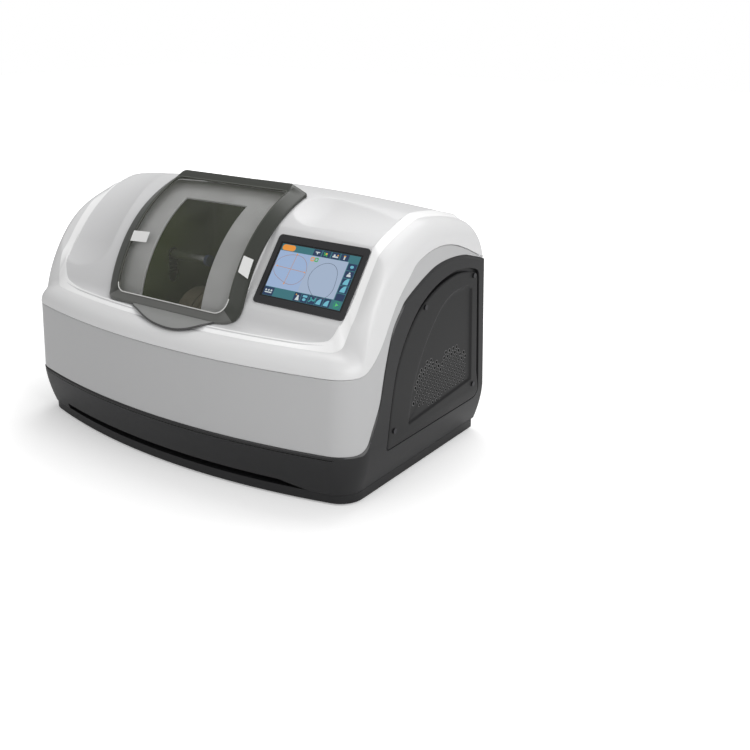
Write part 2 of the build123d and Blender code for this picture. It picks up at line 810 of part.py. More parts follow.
def make_feeler_arm():
    """Measuring finger, folded up behind the opening."""
    hub = rod(6, feeler_x - 6, feeler_x + 6, feeler_y, feeler_z)
    arm = box((feeler_x - 3, feeler_y - 2.5, feeler_z), (feeler_x + 3, feeler_y + 2.5, feeler_z + feeler_length))
    tip = rod(4, feeler_x - 7, feeler_x + 7, feeler_y, feeler_z + feeler_length)
    return hub + arm + tip - rod(2.5 + running_gap, feeler_x - 8, feeler_x + 8, feeler_y, feeler_z)


# ------------------------------------------------------------ grinding drive

def make_chassis_plate():
    """Aluminium plate that carries the whole mechanism."""
    low = plinth_height + tray_floor
    plate = box((-250, -106, low), (250, 160, chassis_top))
    corners = plate.edges().filter_by(Axis.Z)
    plate = fillet(corners, 12)
    for x in (-190, 190):
        plate -= Pos(x, 0, low) * Box(60, 120, 40)
    return plate


def make_spindle_housing():
    """Pedestal with the bearing barrel, beside the tub."""
    barrel = rod(24, 52, 92, spindle_y, spindle_z)
    post_outline = [(spindle_y - 34, chassis_top), (spindle_y + 34, chassis_top), (spindle_y + 22, spindle_z),
                    (spindle_y - 22, spindle_z)]
    body = barrel + side_prism(post_outline, 58, 86)
    body += box((52, spindle_y - 44, chassis_top), (92, spindle_y + 44, chassis_top + 8))
    return body - rod(bearing_radius, 50, 95, spindle_y, spindle_z)


def make_spindle_bearings():
    rings = []
    for x in (54, 80):
        rings.append(tube(bearing_radius, shaft_radius + running_gap, x, x + 10, spindle_y, spindle_z))
    return Compound(children=rings)


def make_spindle_shaft():
    """Wheel shaft with the shoulder that the wheels are clamped against."""
    shaft = rod(shaft_radius, -78, pulley_x + pulley_width + 3, spindle_y, spindle_z)
    return shaft + rod(16, 8, 14, spindle_y, spindle_z) + rod(11, 14, 40, spindle_y, spindle_z)


def wheel(x0, x1):
    """Grinding wheel with a sunken web on its left face and a hub spacer on its right."""
    body = rod(wheel_radius, x0, x1, spindle_y, spindle_z)
    body -= tube(38, 20, x0 - 1, x0 + 3, spindle_y, spindle_z) & rod(50, x0 - 2, x0 + 3, spindle_y, spindle_z)
    return body


def make_roughing_wheel():
    body = wheel(-60, -36) + rod(20, -36, -34, spindle_y, spindle_z)
    return body - rod(shaft_radius, -70, 0, spindle_y, spindle_z)


def bevel_groove(x):
    """V groove round the wheel's rim."""
    plane = Plane(origin=(0, spindle_y, spindle_z), x_dir=(1, 0, 0), z_dir=(0, -1, 0))
    notch = Polyline((x - 3, wheel_radius + 1), (x, wheel_radius - 2.5), (x + 3, wheel_radius + 1), close=True)
    return revolve(plane * make_face(notch), Axis((0, spindle_y, spindle_z), (1, 0, 0)), 360)


def make_finishing_wheel():
    body = wheel(-34, -14) + rod(20, -14, -12, spindle_y, spindle_z)
    return body - rod(shaft_radius, -70, 0, spindle_y, spindle_z) - bevel_groove(-24)


def make_polishing_wheel():
    body = wheel(-12, 8)
    return body - rod(shaft_radius, -70, 20, spindle_y, spindle_z) - bevel_groove(-2)


def make_wheel_nut():
    plane = Plane(origin=(-72, spindle_y, spindle_z), x_dir=(0, 1, 0), z_dir=(1, 0, 0))
    nut = extrude(plane * RegularPolygon(15, 6), 12)
    return nut - rod(shaft_radius, -80, -50, spindle_y, spindle_z)


def pulley(radius, bore, y, z):
    """Flat pulley with a low flange at each edge."""
    end = pulley_x + pulley_width
    body = rod(radius, pulley_x, end, y, z)
    body += rod(radius + 2, pulley_x, pulley_x + 1.5, y, z) + rod(radius + 2, end - 1.5, end, y, z)
    return body - rod(bore, pulley_x - 1, end + 1, y, z)


def hull_face(first, first_radius, second, second_radius):
    """Two discs on the Y-Z plane joined by their outer tangents."""
    dy, dz = second[0] - first[0], second[1] - first[1]
    along = atan2(dz, dy)
    spread = acos((first_radius - second_radius) / hypot(dy, dz))
    ends = []
    for center, radius in ((first, first_radius), (second, second_radius)):
        for side in (1, -1):
            turn = along + side * spread
            ends.append((center[0] + radius * cos(turn), center[1] + radius * sin(turn)))
    a, b, c, d = ends
    web = make_face(Polyline(a, c, d, b, close=True))
    discs = Pos(*first) * Circle(first_radius) + Pos(*second) * Circle(second_radius)
    return discs + web


def make_drive_belt():
    """Flat belt round both pulleys, modelled with a small gap to them."""
    spindle = (spindle_y, spindle_z)
    motor = (motor_y, motor_z)
    near = hull_face(spindle, spindle_pulley_radius + belt_gap, motor, motor_pulley_radius + belt_gap)
    thick = belt_gap + belt_thickness
    far = hull_face(spindle, spindle_pulley_radius + thick, motor, motor_pulley_radius + thick)
    return side_plate(far - near, pulley_x + 3, pulley_x + pulley_width - 3)


def make_grinding_motor():
    """Foot-mounted motor, its front bearing taken in the end bell."""
    body = rod(motor_radius, 124, 232, motor_y, motor_z) + rod(motor_radius - 8, 118, 124, motor_y, motor_z)
    body += box((140, motor_y - 38, chassis_top), (214, motor_y + 38, motor_z - 28))
    return body - rod(6 + running_gap, 110, 152, motor_y, motor_z)


def make_motor_shaft():
    return rod(6, pulley_x - 4, 151, motor_y, motor_z)


def make_motor_pulley():
    return pulley(motor_pulley_radius, 6, motor_y, motor_z)


def make_spindle_pulley():
    return pulley(spindle_pulley_radius, shaft_radius, spindle_y, spindle_z)


# ------------------------------------------------------------ lens carriage

def make_rail_brackets():
    """End plates that hold both rails and the lead screw's bearings."""
    low, high = rail_y[0] - 14, rail_y[1] + 14
    plates = []
    for x0, x1 in ((-rail_end, -rail_end + 10), (rail_end - 10, rail_end)):
        plate = box((x0, low, chassis_top), (x1, high, rail_z + 18))
        plate += box((x0 - 4, low, chassis_top), (x1 + 4, high, chassis_top + 6))
        for y in rail_y:
            plate -= rod(rail_radius, x0 - 1, x1 + 1, y, rail_z)
        plates.append(plate - rod(screw_radius + running_gap, x0 - 1, x1 + 1, screw_y, rail_z))
    return Compound(children=plates)


def make_guide_rails():
    return Compound(children=[rod(rail_radius, -rail_end, rail_end, y, rail_z) for y in rail_y])


def make_lead_screw():
    """Screw that moves the carriage; its thread is left plain."""
    screw = rod(screw_radius, -rail_end - 8, rail_end, screw_y, rail_z)
    collar = rod(8, -rail_end + 10.5, -rail_end + 16, screw_y, rail_z)
    return screw + collar


def make_traverse_motor():
    body = box((-rail_end - 26, screw_y - 21, rail_z - 21), (-rail_end, screw_y + 21, rail_z + 21))
    body = fillet(body.edges().filter_by(Axis.X), 5)
    return body - rod(screw_radius + running_gap, -rail_end - 9, -rail_end + 1, screw_y, rail_z)


def make_carriage_base():
    """Bridge on the two rails, with the lugs that hold the arm's pivot."""
    left, right = carriage_left, carriage_right
    front, rear = rail_y[0] - 13, rail_y[1] + 13
    body = box((left, front, rail_z - 15), (right, rear, rail_z + 15))
    body -= box((left + 40, front - 1, rail_z - 16), (right - 40, rear + 1, rail_z + rail_radius + 1))
    for x0, x1 in ((left, left + arm_thickness), (right - arm_thickness, right)):
        lug = box((x0, arm_pivot_y - 14, rail_z + 10), (x1, arm_pivot_y + 14, arm_pivot_z))
        body += lug + rod(14, x0, x1, arm_pivot_y, arm_pivot_z)
        body -= rod(pivot_radius, x0 - 1, x1 + 1, arm_pivot_y, arm_pivot_z)
    for y in rail_y:
        body -= rod(rail_radius + running_gap, left - 1, right + 1, y, rail_z)
    return body - rod(screw_radius + running_gap, left - 1, right + 1, screw_y, rail_z)


def make_lift_motor():
    """Motor on the bridge that raises and lowers the arm."""
    top = rail_z + 15
    return box((-40, screw_y - 14, top), (20, screw_y + 14, top + 6)) + rod(13, -40, 20, screw_y, top + 16)


def make_arm_pivot():
    return rod(pivot_radius, carriage_left - 4, carriage_right + 4, arm_pivot_y, arm_pivot_z)


def make_swing_arm():
    """Cross tube with a cheek at each end that carries the lens shafts' bearings."""
    pivot = (arm_pivot_y, arm_pivot_z)
    lens = (lens_y, lens_z)
    half = arm_thickness / 2
    cheek = hull_face(pivot, 22, lens, 16) - Pos(38, 236) * Circle(0.1)
    body = rod(16, left_arm_x, right_arm_x, *pivot)
    web = Pos(*pivot) * Circle(24) + Pos(*lens) * Circle(19)
    window = hull_face((60, 231), 9, (15, 238.5), 8) - web
    for x in (left_arm_x, right_arm_x):
        body += side_plate(cheek - window, x - half, x + half)
    body += rod(16, left_arm_x - half, left_arm_x + half + 5, *lens)
    body += rod(16, right_arm_x - half - 5, right_arm_x + half + 33, *lens)
    body -= rod(pivot_radius + running_gap, left_arm_x - 20, right_arm_x + 20, *pivot)
    body -= rod(lens_shaft_radius + running_gap, left_arm_x - 20, left_arm_x + 20, *lens)
    return body - rod(quill_radius + running_gap, right_arm_x - 20, right_arm_x + 60, *lens)


def make_lens_drive_motor():
    """Geared motor on the left cheek that turns the lens."""
    face = left_arm_x - arm_thickness / 2
    body = rod(18, face - 56, face, lens_y, lens_z)
    return body - rod(lens_shaft_radius + running_gap, face - 14, face + 1, lens_y, lens_z)


def make_left_lens_shaft():
    return rod(lens_shaft_radius, left_arm_x - 20, lens_plane_x - 8, lens_y, lens_z)


def make_left_lens_pad():
    """Rubber pad that holds the lens block."""
    return rod(8, lens_plane_x - 8, lens_plane_x - 2, lens_y, lens_z)


def make_clamp_motor():
    """Motor on the right cheek with the rod that guides the quill's yoke."""
    face = right_arm_x + arm_thickness / 2
    return rod(13, face, face + 33, *yoke_rod) + rod(3, face + 33, face + 90, *yoke_rod)


def make_clamp_quill():
    """Sleeve that slides in the right cheek and closes the lens clamp."""
    face = right_arm_x + arm_thickness / 2
    body = rod(quill_radius, face + 9, face + 75, lens_y, lens_z)
    yoke = hull_face((lens_y, lens_z), 16, yoke_rod, 8)
    body += side_plate(yoke, face + 66, face + 74)
    body -= rod(lens_shaft_radius + running_gap, face, face + 90, lens_y, lens_z)
    return body - rod(3 + running_gap, face, face + 90, *yoke_rod)


def make_right_lens_shaft():
    """Driven shaft of the clamp, with a thumb ring behind the quill."""
    face = right_arm_x + arm_thickness / 2
    start = lens_plane_x + 2 + clamp_travel + 6
    shaft = rod(lens_shaft_radius, start, face + 82, lens_y, lens_z)
    return shaft + rod(10, face + 75.5, face + 82, lens_y, lens_z)


def make_right_lens_pad():
    start = lens_plane_x + 2 + clamp_travel
    return rod(8, start, start + 6, lens_y, lens_z)


# ------------------------------------------------------------ electrics and services

def make_power_supply():
    body = box((-232, -100, chassis_top), (-122, 30, chassis_top + 42))
    slots = [box((-224 + 14 * k, -80, chassis_top + 39), (-218 + 14 * k, 10, chassis_top + 45)) for k in range(7)]
    return body - Compound(children=slots)


def make_main_board():
    """Circuit board on four pillars, with its heat sink and terminal blocks."""
    top = chassis_top + 12
    board = box((-228, 44, top), (-118, 128, top + 1.6))
    for x in (-222, -124):
        for y in (50, 122):
            board += post(3, x, y, chassis_top, top)
    board += box((-200, 60, top + 1.6), (-160, 96, top + 14))
    for k in range(4):
        board += box((-148 + 0, 54 + 16 * k, top + 1.6), (-136, 66 + 16 * k, top + 12))
    return board


def make_fan_frame():
    """Square frame with the rear struts, the motor's seat and the rotor's axle."""
    near, far = -sheet - fan_depth, -sheet
    body = rear_solid(fan_x, fan_z, RectangleRounded(fan_size, fan_size, 6), near, far)
    body -= rear_solid(fan_x, fan_z, Circle(fan_bore), near - 1, far + 1)
    body += rear_solid(fan_x, fan_z, Circle(15), near, near + 3)
    struts = Rectangle(2 * fan_bore + 2, 5) + Rectangle(5, 2 * fan_bore + 2)
    body += rear_solid(fan_x, fan_z, struts, near, near + 3)
    return body + rear_solid(fan_x, fan_z, Circle(2), near + 3, far - 3)


def make_fan_rotor():
    """Hub with seven pitched blades."""
    near, far = -sheet - fan_depth + 4, -sheet - 4
    hub = Circle(14) - Circle(2 + running_gap)
    middle = (near + far) / 2
    body = Pos(0, 0, near) * extrude(hub, far - near)
    for k in range(7):
        blade = Pos(24.5, 0, middle) * Rot(38, 0, 0) * Box(23, 1.6, 13)
        body += Rot(0, 0, 360 / 7 * k) * blade
    return rear_plane(fan_x, fan_z).location * body


def make_power_inlet():
    """Mains inlet with its three pins."""
    body = rear_solid(inlet_x, inlet_z, Rectangle(inlet_width, inlet_height), -sheet - 20, 0)
    body += rear_solid(inlet_x, inlet_z, RectangleRounded(inlet_width + 20, inlet_height + 6, 3), 0, 3)
    body -= rear_solid(inlet_x, inlet_z, RectangleRounded(24, 16.5, 2), -16, 4)
    for x, y in ((-7, -2), (0, 2), (7, -2)):
        body += rear_solid(inlet_x, inlet_z, Pos(x, y) * Rectangle(2, 4), -16, -1)
    return body


def make_power_switch():
    """Switch frame with the rocker's pivot pin."""
    body = rear_solid(inlet_x, switch_z, Rectangle(switch_width, switch_height), -18, 0)
    body += rear_solid(inlet_x, switch_z, Rectangle(switch_width + 5, switch_height + 5), 0, 2)
    body -= rear_solid(inlet_x, switch_z, Rectangle(rocker_width + 1.2, rocker_height + 2.4), -14, 3)
    plane = rear_plane(inlet_x, switch_z)
    pin = plane.location * Pos(0, 0, -4) * Rot(0, 90, 0) * Cylinder(1.5, rocker_width + 2)
    return body + pin


def make_power_rocker():
    """Rocker, on its pin, with a shallow vee face."""
    half = rocker_height / 2
    outline = [(-half, -3), (-half, 1.2), (0, -0.4), (half, 2.4), (half, -3), (3, -7), (-3, -7)]
    plane = Plane(origin=(-rocker_width / 2, 0, 0), x_dir=(0, 1, 0), z_dir=(1, 0, 0))
    body = extrude(plane * make_face(Polyline(*outline, close=True)), rocker_width)
    body -= Pos(0, 0, -4) * Rot(0, 90, 0) * Cylinder(1.5 + running_gap, rocker_width + 2)
    return rear_plane(inlet_x, switch_z).location * body


def spigot(x, radius, bore):
    """Hose connection: flange, pipe and one barb."""
    body = rear_solid(x, service_z, Circle(radius), -sheet, spigot_length)
    body += rear_solid(x, service_z, Circle(radius + 6), 0, 3)
    return body - rear_solid(x, service_z, Circle(bore), -sheet - 1, spigot_length + 1)


def make_water_inlet():
    return spigot(water_x, water_radius, water_radius - 3)


def make_drain_outlet():
    return spigot(drain_x, drain_radius, drain_pipe_radius - 2.5)


def save(name, shape):
    """Writes one piece, in the frame whose origin is under the middle of the overall box."""
    solids = [Pos(0, -origin_y, 0) * solid for solid in shape.solids()]
    piece = solids[0] if len(solids) == 1 else Compound(children=solids)
    export_step(piece, os.path.join("parts", name + ".step"))
    print(name, round(shape.volume), len(solids), "ok" if shape.is_valid else "BROKEN")


cover = make_side_cover()
save("side_cover_right", cover)
save("side_cover_left", mirror(cover, Plane.YZ))
save("top_shell", make_top_shell())
save("front_fascia", make_front_fascia())
save("base_housing", make_base_housing())
save("plinth", make_plinth())
save("rubber_feet", make_rubber_feet())
save("rear_panel", make_rear_panel())
save("case_screws", make_case_screws())
save("display_bezel", make_display_bezel())
save("display_glass", make_display_glass())
save("display_housing", make_display_housing())
save("hood_window", make_hood_window())
save("hood_frame", make_hood_frame())
save("hood_grip", make_hood_grip())
save("hood_hinges", make_hood_hinges())
save("chamber_liner", make_chamber_liner())
save("chamber_frame", make_chamber_frame())
save("chamber_lamp", make_chamber_lamp())
save("spray_nozzle", make_spray_nozzle())
save("drain_pipe", make_drain_pipe())
save("feeler_bracket", make_feeler_bracket())
save("feeler_arm", make_feeler_arm())
save("chassis_plate", make_chassis_plate())
save("spindle_housing", make_spindle_housing())
save("spindle_bearings", make_spindle_bearings())
save("spindle_shaft", make_spindle_shaft())
save("roughing_wheel", make_roughing_wheel())
save("finishing_wheel", make_finishing_wheel())
save("polishing_wheel", make_polishing_wheel())
save("wheel_nut", make_wheel_nut())
save("spindle_pulley", make_spindle_pulley())
save("drive_belt", make_drive_belt())
save("grinding_motor", make_grinding_motor())
save("motor_shaft", make_motor_shaft())
save("motor_pulley", make_motor_pulley())
save("guide_rails", make_guide_rails())
save("rail_brackets", make_rail_brackets())
save("traverse_motor", make_traverse_motor())
save("lead_screw", make_lead_screw())
save("carriage_base", make_carriage_base())
save("lift_motor", make_lift_motor())
save("arm_pivot", make_arm_pivot())
save("swing_arm", make_swing_arm())
save("lens_drive_motor", make_lens_drive_motor())
save("clamp_motor", make_clamp_motor())
save("left_lens_shaft", make_left_lens_shaft())
save("left_lens_pad", make_left_lens_pad())
save("clamp_quill", make_clamp_quill())
save("right_lens_shaft", make_right_lens_shaft())
save("right_lens_pad", make_right_lens_pad())
save("power_supply", make_power_supply())
save("main_board", make_main_board())
save("fan_frame", make_fan_frame())
save("fan_rotor", make_fan_rotor())
save("power_inlet", make_power_inlet())
save("power_switch", make_power_switch())
save("power_rocker", make_power_rocker())
save("water_inlet", make_water_inlet())
save("drain_outlet", make_drain_outlet())
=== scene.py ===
import bpy
import bmesh
import json
import math
import numpy as np
from mathutils import Matrix, Vector


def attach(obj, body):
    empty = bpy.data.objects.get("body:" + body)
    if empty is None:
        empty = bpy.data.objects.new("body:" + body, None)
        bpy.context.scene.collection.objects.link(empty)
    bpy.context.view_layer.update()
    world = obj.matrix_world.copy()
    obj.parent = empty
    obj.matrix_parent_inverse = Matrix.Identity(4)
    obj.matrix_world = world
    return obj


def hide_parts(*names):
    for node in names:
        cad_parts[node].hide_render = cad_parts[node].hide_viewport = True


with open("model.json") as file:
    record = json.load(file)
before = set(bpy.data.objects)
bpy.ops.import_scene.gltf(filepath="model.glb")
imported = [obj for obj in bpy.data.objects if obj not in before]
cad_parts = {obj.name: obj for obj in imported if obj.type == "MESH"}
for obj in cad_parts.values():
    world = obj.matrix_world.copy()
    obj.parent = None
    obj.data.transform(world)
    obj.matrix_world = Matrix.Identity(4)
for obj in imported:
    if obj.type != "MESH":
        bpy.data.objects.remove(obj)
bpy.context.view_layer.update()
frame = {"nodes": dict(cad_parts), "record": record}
nodes = frame["nodes"]

# ---------------------------------------------------------------- white shell
# One large injection moulding in white ABS: a rim rolled over the front and the sides, the
# deck inside it with the ledge, the brow and the top, and a soft dish pressed at each end.
# Satin, faintly textured, 3 mm thick; it sits on the grey band along the crease.
BACK = 14.5                                   # mm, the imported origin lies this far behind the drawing's
HALF_WIDTH, NOSE, BOW, CORNER = 290.0, -181.0, 43.0, 46.0
DRAFT, PARTING = 0.035, 72.0
RIM_STEP, RIM_WIDTH, RIM_FALL = 3.0, 34.0, 32.0
BROW_Y, BROW_Z, BROW_R, LEDGE = 78.8, 150.6, 199.0, 198.0
COVE = 14.0
CROWN = 15.0
ROLL_WIDTH, ROLL_DROP = 24.5, 4.4
REAR_EDGE = 175.5


def rear_wall(z):
    """Y of the rear wall: it leans forward by 0.02 mm for each mm of height."""
    return 182.0 - 0.02 * (z - PARTING)


def through(points, count):
    """Catmull-Rom curve: between neighbours a cubic whose slope at each point is the chord of its two neighbours."""
    p = np.vstack([2 * points[0] - points[1], points, 2 * points[-1] - points[-2]])
    t = np.linspace(0, 1, count)[:, None]
    pieces = []
    for k in range(1, len(p) - 2):
        a, b, c, d = p[k - 1], p[k], p[k + 1], p[k + 2]
        pieces.append(0.5 * (2 * b + (c - a) * t + (2 * a - 5 * b + 4 * c - d) * t ** 2
                             + (3 * b - a - 3 * c + d) * t ** 3))
    return np.vstack(pieces)


def arc(cy, cz, radius, start, end, count):
    """Points on a circle from start to end degrees, measured from +Y towards +Z."""
    turn = np.radians(np.linspace(start, end, count))
    return np.stack([cy + radius * np.cos(turn), cz + radius * np.sin(turn)], -1)


def deck_line():
    """Side view of the deck: ledge, cove, brow arc, top, rear roll; resampled to even arc length."""
    cove_y = BROW_Y - math.sqrt((BROW_R + COVE) ** 2 - (LEDGE + COVE - BROW_Z) ** 2)
    meet = math.degrees(math.atan2(LEDGE + COVE - BROW_Z, cove_y - BROW_Y))
    ledge = np.array([(-190.0, LEDGE), (cove_y - 1, LEDGE)])
    cove = arc(cove_y, LEDGE + COVE, COVE, -90, meet - 180, 24)
    brow = arc(BROW_Y, BROW_Z, BROW_R, meet, 108, 120)
    top = through(np.array([brow[-1], (45, 344.7), (95, 339.5), (133, 331), (155, 323.5), (169.5, 309.5),
                            (176.5, 288), (rear_wall(256), 256)]), 30)
    line = np.vstack([ledge, cove, brow, top])
    step = np.r_[0, np.cumsum(np.hypot(*np.diff(line, axis=0).T))]
    even = np.linspace(0, step[-1], 900)
    return even, np.interp(even, step, line[:, 0]), np.interp(even, step, line[:, 1])


RUN, LINE_Y, LINE_Z = deck_line()


def deck_height(y):
    """Height of the deck's middle at y, in front of the rear roll."""
    return np.interp(y, LINE_Y, LINE_Z)


def crown(x, y):
    """How far the deck falls towards the sides: a parabola in x that fades out down the brow."""
    share = np.clip((y + 75) / 90, 0, 1)
    return CROWN * (x / HALF_WIDTH) ** 2 * share * share * (3 - 2 * share)


def plan(inset, corner, rear, counts=(70, 36, 150)):
    """Right half of the casing from above: points and outward normals along the bowed front,
    the corner and the straight side, each a circle arc or a line moved in by inset."""
    half, nose = HALF_WIDTH - inset, NOSE + inset
    radius = HALF_WIDTH ** 2 / (2 * BOW) + BOW / 2 - inset
    cx = half - corner
    cy = nose + radius - math.sqrt((radius - corner) ** 2 - cx ** 2)
    last = math.atan2(cy - nose - radius, cx)
    front = np.linspace(-math.pi / 2, last, counts[0])
    bend = np.linspace(last, 0, counts[1])[1:]
    side = np.linspace(cy, rear, counts[2])[1:]
    normals = np.vstack([np.stack([np.cos(front), np.sin(front)], -1),
                         np.stack([np.cos(bend), np.sin(bend)], -1),
                         np.tile([1.0, 0.0], (len(side), 1))])
    points = np.vstack([np.stack([radius * np.cos(front), nose + radius + radius * np.sin(front)], -1),
                        np.stack([cx + corner * np.cos(bend), cy + corner * np.sin(bend)], -1),
                        np.stack([np.full(len(side), half), side], -1)])
    return points, normals


def whole(half_rows):
    """Mirrors rows that run from the middle to the right into full rows from left to right."""
    left = half_rows[:, :0:-1].copy()
    left[..., 0] *= -1
    return np.concatenate([left, half_rows], axis=1)


def side_line(points, y, level):
    """Height of a line drawn on the side: a smooth curve through points, level in front of them."""
    curve = through(np.array(points, float), 24)
    return np.where(y < curve[0, 0], level, np.interp(y, curve[:, 0], curve[:, 1]))


def crease(y):
    """Where the white shell meets the grey band."""
    return side_line([(-150, 169), (-118, 170), (-97, 178), (-81, 191), (-69, 205), (-62, 215), (-52, 229),
                      (-40, 244), (-27, 256), (-13, 268), (3, 281), (23, 288), (46, 292), (71, 292),
                      (99, 287), (128, 277), (155, 265), (178, 255), (182, 254)], y, 169)


def cheek(y):
    """Where the grey band meets the black base."""
    return side_line([(-150, 72), (-122, 72.5), (-108, 80), (-99, 94), (-82, 122), (-74, 147), (-66, 173),
                      (-51, 210), (-32, 232), (-22, 241), (1, 252), (23, 261), (49, 269), (77, 272),
                      (110, 271), (140, 266), (178, 255), (182, 251)], y, 72)


SCOOP_X, SCOOP_HALF, SCOOP_DEPTH, SCOOP_FOOT = -224.0, 59.0, 11.0, 145.0
TROUGH_LEFT, TROUGH_FROM, TROUGH_TO, TROUGH_DEPTH = 148.0, (-28.0, 316.0), (40.0, 343.0), 5.0


def softer(a, b, blend):
    """The smaller of two heights, rounded off over blend mm where they cross."""
    mix = np.clip(0.5 + 0.5 * (b - a) / blend, 0, 1)
    return b + (a - b) * mix - blend * mix * (1 - mix)


def pressed(p):
    """Pushes points into the two dishes. The left one is a ring of round section about the brow's axis that
    ends in a ball; the right one is a round bar along X that ends in a ball."""
    tube = SCOOP_HALF ** 2 / (2 * SCOOP_DEPTH) + SCOOP_DEPTH / 2
    ring = BROW_R - SCOOP_DEPTH + tube
    y, z = p[..., 1] - BROW_Y, p[..., 2] - BROW_Z
    radius, angle = np.hypot(y, z), np.degrees(np.arctan2(z, y))
    past = np.radians(np.clip(angle - SCOOP_FOOT, 0, 60)) + np.radians(np.clip(88 - angle, 0, 60))
    room = tube ** 2 - (p[..., 0] - SCOOP_X) ** 2 - (ring * np.sin(past)) ** 2
    floor = np.where(room > 0, ring * np.cos(past) - np.sqrt(np.maximum(room, 0)), 1e3)
    radius = softer(radius, floor, 0.8)
    out = p.copy()
    out[..., 1] = BROW_Y + radius * np.cos(np.radians(angle))
    out[..., 2] = BROW_Z + radius * np.sin(np.radians(angle))
    run, rise = TROUGH_TO[0] - TROUGH_FROM[0], TROUGH_TO[1] - TROUGH_FROM[1]
    chord = math.hypot(run, rise)
    bar = chord ** 2 / (8 * TROUGH_DEPTH) + TROUGH_DEPTH / 2
    cy = (TROUGH_FROM[0] + TROUGH_TO[0]) / 2 - (bar - TROUGH_DEPTH) * rise / chord
    cz = (TROUGH_FROM[1] + TROUGH_TO[1]) / 2 + (bar - TROUGH_DEPTH) * run / chord
    room = bar ** 2 - (out[..., 1] - cy) ** 2 - np.minimum(out[..., 0] - TROUGH_LEFT, 0) ** 2
    floor = np.where((room > 0) & (out[..., 0] < 249), cz - np.sqrt(np.maximum(room, 0)), 1e3)
    out[..., 2] = softer(out[..., 2], floor, 0.5)
    return out


SCREEN_X, SCREEN_W, SCREEN_H = 177.0, 140.0, 96.0
SCREEN_FOOT, SCREEN_TILT = (-103.0, 229.0), math.radians(52.0)
POCKET_LEFT, POCKET_RIGHT, POCKET_FADE, POCKET_DEPTH = 92.0, 257.0, 284.0, 1.5


def pocketed(p):
    """Cuts the flat pocket of the display: between its ends no point stands above the display's plane. On the
    rim the cut fades out from POCKET_RIGHT to POCKET_FADE."""
    up = np.array([math.cos(SCREEN_TILT), math.sin(SCREEN_TILT)])
    out_of = np.array([-up[1], up[0]])
    height = (p[..., 1] - SCREEN_FOOT[0]) * out_of[0] + (p[..., 2] - SCREEN_FOOT[1]) * out_of[1] + POCKET_DEPTH
    inside = p[..., 0] > POCKET_LEFT
    near = softer(height, np.zeros_like(height), 0.5)
    move = np.where(inside, near - height, 0)
    along = (p[..., 1] - SCREEN_FOOT[0]) * up[0] + (p[..., 2] - SCREEN_FOOT[1]) * up[1]
    move *= np.clip((along + 20) / 13, 0, 1) * (along < SCREEN_H + 30)
    move *= np.clip((POCKET_FADE - p[..., 0]) / (POCKET_FADE - POCKET_RIGHT), 0, 1)
    out = p.copy()
    out[..., 1] += move * out_of[0]
    out[..., 2] += move * out_of[1]
    return out


def rim_rows():
    """The rim from the crease up: lip, drafted wall, quarter-ellipse roll, and the slope down to the deck."""
    outer, normals = plan(0, CORNER, REAR_EDGE)
    inner, _ = plan(RIM_WIDTH, 30.0, REAR_EDGE)
    inward = inner - outer
    width = np.hypot(*inward.T)[:, None]
    low = crease(outer[:, 1])

    def place(share, extra=0.0):
        lean = DRAFT * (roll_foot - PARTING)
        spot = outer - normals * lean[:, None] + inward * share + inward / width * extra
        return spot

    roll_foot = np.maximum(deck_height(outer[:, 1]) + RIM_STEP - RIM_FALL - crown(outer[:, 0], outer[:, 1]), low)
    rows = []
    for depth, lift in ((2.6, 0.5), (0.9, 0.5), (0.25, 0.75), (0.0, 1.4)):
        spot = outer - normals * (DRAFT * (low - PARTING) + depth)[:, None]
        rows.append(np.column_stack([spot, low + lift]))
    for share in np.linspace(0, 1, 14)[1:]:
        level = low + 1.4 + (np.maximum(roll_foot, low + 1.4) - low - 1.4) * share
        spot = outer - normals * (DRAFT * (level - PARTING))[:, None]
        rows.append(np.column_stack([spot, level]))
    for share in 1 - np.cos(np.linspace(0, math.pi / 2, 22))[1:]:
        spot = place(share * ROLL_WIDTH / RIM_WIDTH)
        top = deck_height(spot[:, 1]) - ROLL_DROP - crown(spot[:, 0], spot[:, 1])
        level = top - (RIM_FALL - RIM_STEP - ROLL_DROP) * (1 - math.sqrt(max(0, 1 - (1 - share) ** 2)))
        rows.append(np.column_stack([spot, np.maximum(level, low + 1.4)]))
    bevel = []
    for reach, drop in ((ROLL_WIDTH, ROLL_DROP), (33.5, -0.5), (34.4, -0.6), (36.0, 0.3), (38.0, 5.0)):
        spot = place(min(1.0, reach / RIM_WIDTH), max(0.0, reach - RIM_WIDTH))
        top = deck_height(spot[:, 1]) - drop - crown(spot[:, 0], spot[:, 1])
        bevel.append(np.column_stack([spot, np.maximum(top, low + 1.4)]))
    made = []
    for rows in (rows, bevel):
        grid = whole(np.array(rows))
        made.append([grid])
        for end, order in ((0, 1), (-1, -1)):
            edge = grid[:, end]
            strips = [edge]
            for share in np.linspace(0, 1, 9)[1:]:
                level = edge[:, 2] + (257.0 - edge[:, 2]) * share
                y = REAR_EDGE + (rear_wall(257.0) - REAR_EDGE) * math.sin(share * math.pi / 2)
                strips.append(np.stack([edge[:, 0], np.full(len(edge), y), level], -1))
            made[-1].append(np.stack(strips[::order], 1))
    return made


